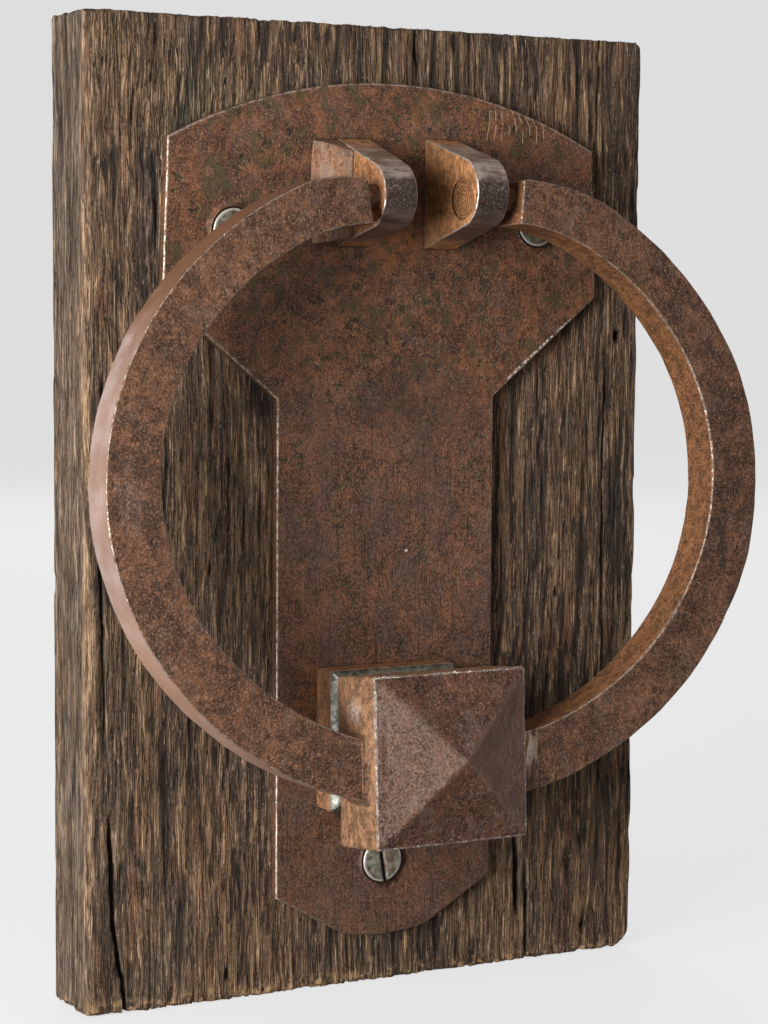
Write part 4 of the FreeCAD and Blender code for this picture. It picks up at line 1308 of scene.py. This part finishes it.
def boss_material():
    """Hammered striker with rubbed ridges; its front facets that face left and right are painted paler as
    painted highlight and sheen, and its worn edges near white, partly as a painted highlight.
    """
    def hammered(g, roughness, shine, height, edge):
        ridge = g.times(g.mark("ridge"), g.step(g.noise(2.4, 3), 0.45, 0.62))
        g.paint(g.times(ridge, 0.3), (150, 124, 110))
        dents = g.noise(1.5, 4, 0.7, at=(21, 17, 5))
        sideways = g.split(g.normal)[0]
        front = g.step(g.split(g.normal)[1], -0.6, -0.85)
        grit = g.noise(0.6, 4, 0.8, at=(9, 33, 8))
        # Painted highlight: front facets that face left are painted pale grey in grains, as if the lamp
        # caught them.
        rubbed = g.times(front, g.step(sideways, -0.02, -0.34), g.step(grit, 0.36, 0.66, 0.0, 0.62))
        g.paint(rubbed, (164, 142, 128))
        # Painted sheen: front facets that face right are painted greyish.
        g.paint(g.times(front, g.step(sideways, 0.05, 0.3, 0, 0.5)), (142, 116, 102))
        smear = g.times(g.blob((BOSS_X - BOSS_HALF, -53, -49), (4, 6, 5), 0.9),
                        g.step(g.noise(1.4, 4, 0.7), 0.38, 0.56))
        g.paint(g.times(smear, 0.8), (226, 204, 184))
        # Worn edges painted near white: partly bare metal, partly a painted highlight.
        g.paint(g.times(edge, 0.8), (214, 206, 198))
        return roughness, shine, g.plus(height, g.plus(g.times(dents, 0.5), g.times(grit, 0.7)))
    return iron("boss_iron", dark=(74, 48, 38), mid=(102, 68, 54), warm=(124, 80, 58), cloud=(116, 98, 92),
                clouds=0.5, flank=(204, 154, 114), flank_share=0.95, pits=0.1, grain=0.6, grain_depth=0.55,
                metallic=0.35, rough=(0.36, 0.5), extra=hammered)


def dress(piece, material):
    piece.data.materials.clear()
    piece.data.materials.append(material)


# ------------------------------------------------------------------ build

dress(oak_board(), oak_material())
dress(iron_plate(), plate_material())
lug_iron = lug_material()
pin_iron = pin_material()
weld_iron = weld_material()
screw_steel = screw_material()
ring_iron = ring_material()
for hand in (-1, 1):
    dress(lug_piece(hand), lug_iron)
    dress(pin_piece(hand), pin_iron)
    dress(ring_arm_piece(hand), ring_iron)
for weld in (weld_foot(), weld_fillet(), ground_weld()):
    dress(weld, weld_iron)
dress(strike_piece(), strike_material())
for screw_node in SCREWS:
    dress(screw_piece(screw_node), screw_steel)
dress(boss_piece(), boss_material())


# ------------------------------------------------------------------ floor, light and camera

FLOOR_TONE = (122, 122, 121)
# Extra paleness of the stage itself, which only the camera sees; it lights nothing.
STAGE_GLOW = 0.67
FLOOR_RADIUS, FLOOR_BEND, FLOOR_TOP, FLOOR_SIDES = 1.9, 0.7, 1.2, 96
# Name, place, width, height and power of each soft lamp; they all face LAMP_TARGET.
LAMPS = (("window", (-0.68, -0.39, 0.04), 0.36, 0.5, 12.0), ("fill", (0.5, -1.2, 0.1), 1.0, 1.0, 3.6),
         ("rear", (0.5, 1.4, 0.9), 1.2, 1.2, 9.0))
LAMP_TARGET = Vector((0, -0.03, 0))
WORLD_LIGHT = 0.35
CAMERA_PLACE, CAMERA_LENS, SENSOR_WIDTH = (-0.3242, -0.6307, 0.0578), 89.65, 36.0
CAMERA_YAW, CAMERA_PITCH, CAMERA_ROLL = (math.radians(a) for a in (28.25, -4.83, 0.37))


def link(thing):
    bpy.context.scene.collection.objects.link(thing)
    return thing


def stage_floor():
    """Pale floor that curves up into a wall far outside the object, all round."""
    bends = np.linspace(0.15, math.pi / 2, 10)
    profile = [(r, 0.0) for r in (0.6, 1.2, FLOOR_RADIUS)]
    profile += [(FLOOR_RADIUS + FLOOR_BEND * math.sin(t), FLOOR_BEND - FLOOR_BEND * math.cos(t))
                for t in bends]
    profile += [(FLOOR_RADIUS + FLOOR_BEND, FLOOR_TOP)]
    count, points = FLOOR_SIDES, [(0.0, 0.0, cad_low.z)]
    for r, h in profile:
        turns = (2 * math.pi * k / count for k in range(count))
        points += [(r * math.cos(turn), r * math.sin(turn), cad_low.z + h) for turn in turns]
    faces = [(0, 1 + k, 1 + (k + 1) % count) for k in range(count)]
    for row in range(len(profile) - 1):
        for k in range(count):
            n = (k + 1) % count
            a, b = 1 + row * count, 1 + (row + 1) * count
            faces.append((a + k, b + k, b + n, a + n))
    mesh = bpy.data.meshes.new("floor")
    mesh.from_pydata(points, [], faces)
    mesh.polygons.foreach_set("use_smooth", [True] * len(mesh.polygons))
    floor = link(bpy.data.objects.new("floor", mesh))
    g = Graph("pale_floor")
    seen = g.node("ShaderNodeLightPath").outputs["Is Camera Ray"]
    g.put(g.shader.inputs["Emission Color"], (1, 1, 1, 1))
    g.put(g.shader.inputs["Emission Strength"], g.times(seen, STAGE_GLOW))
    g.colour = tone(*FLOOR_TONE)
    mesh.materials.append(g.finish(0.9, 0.0, g.bump(g.noise(1.2, 2), 0.15, 0.3), specular=0.2))


def soft_light(name, place, width, height, power):
    data = bpy.data.lights.new(name, "AREA")
    data.shape = "RECTANGLE"
    data.size, data.size_y, data.energy = width, height, power
    lamp = link(bpy.data.objects.new(name, data))
    lamp.location = place
    lamp.rotation_mode = "QUATERNION"
    lamp.rotation_quaternion = (LAMP_TARGET - Vector(place)).to_track_quat("-Z", "Y")
    lamp.visible_camera = False


def world_light(strength):
    world = bpy.data.worlds.new("pale_room")
    world.use_nodes = True
    shade = world.node_tree.nodes["Background"]
    shade.inputs["Color"].default_value = (1, 1, 1, 1)
    shade.inputs["Strength"].default_value = strength
    bpy.context.scene.world = world


def camera():
    """Camera to the left of the object, a little above its middle, as it was seen."""
    yaw, pitch, roll = CAMERA_YAW, CAMERA_PITCH, CAMERA_ROLL
    ahead = Vector((math.sin(yaw) * math.cos(pitch), math.cos(yaw) * math.cos(pitch), math.sin(pitch)))
    right = Vector((math.cos(yaw), -math.sin(yaw), 0))
    up = right.cross(ahead)
    right, up = (math.cos(roll) * right + math.sin(roll) * up, -math.sin(roll) * right + math.cos(roll) * up)
    data = bpy.data.cameras.new("camera")
    data.sensor_width, data.lens = SENSOR_WIDTH, CAMERA_LENS
    data.clip_start, data.clip_end = 0.01, 20
    view = link(bpy.data.objects.new("camera", data))
    turned = Matrix((right, up, -ahead)).transposed().to_4x4()
    view.matrix_world = Matrix.Translation(CAMERA_PLACE) @ turned
    bpy.context.scene.camera = view


stage_floor()
for lamp_facts in LAMPS:
    soft_light(*lamp_facts)
world_light(WORLD_LIGHT)
camera()
bpy.context.scene.view_settings.view_transform = "Standard"
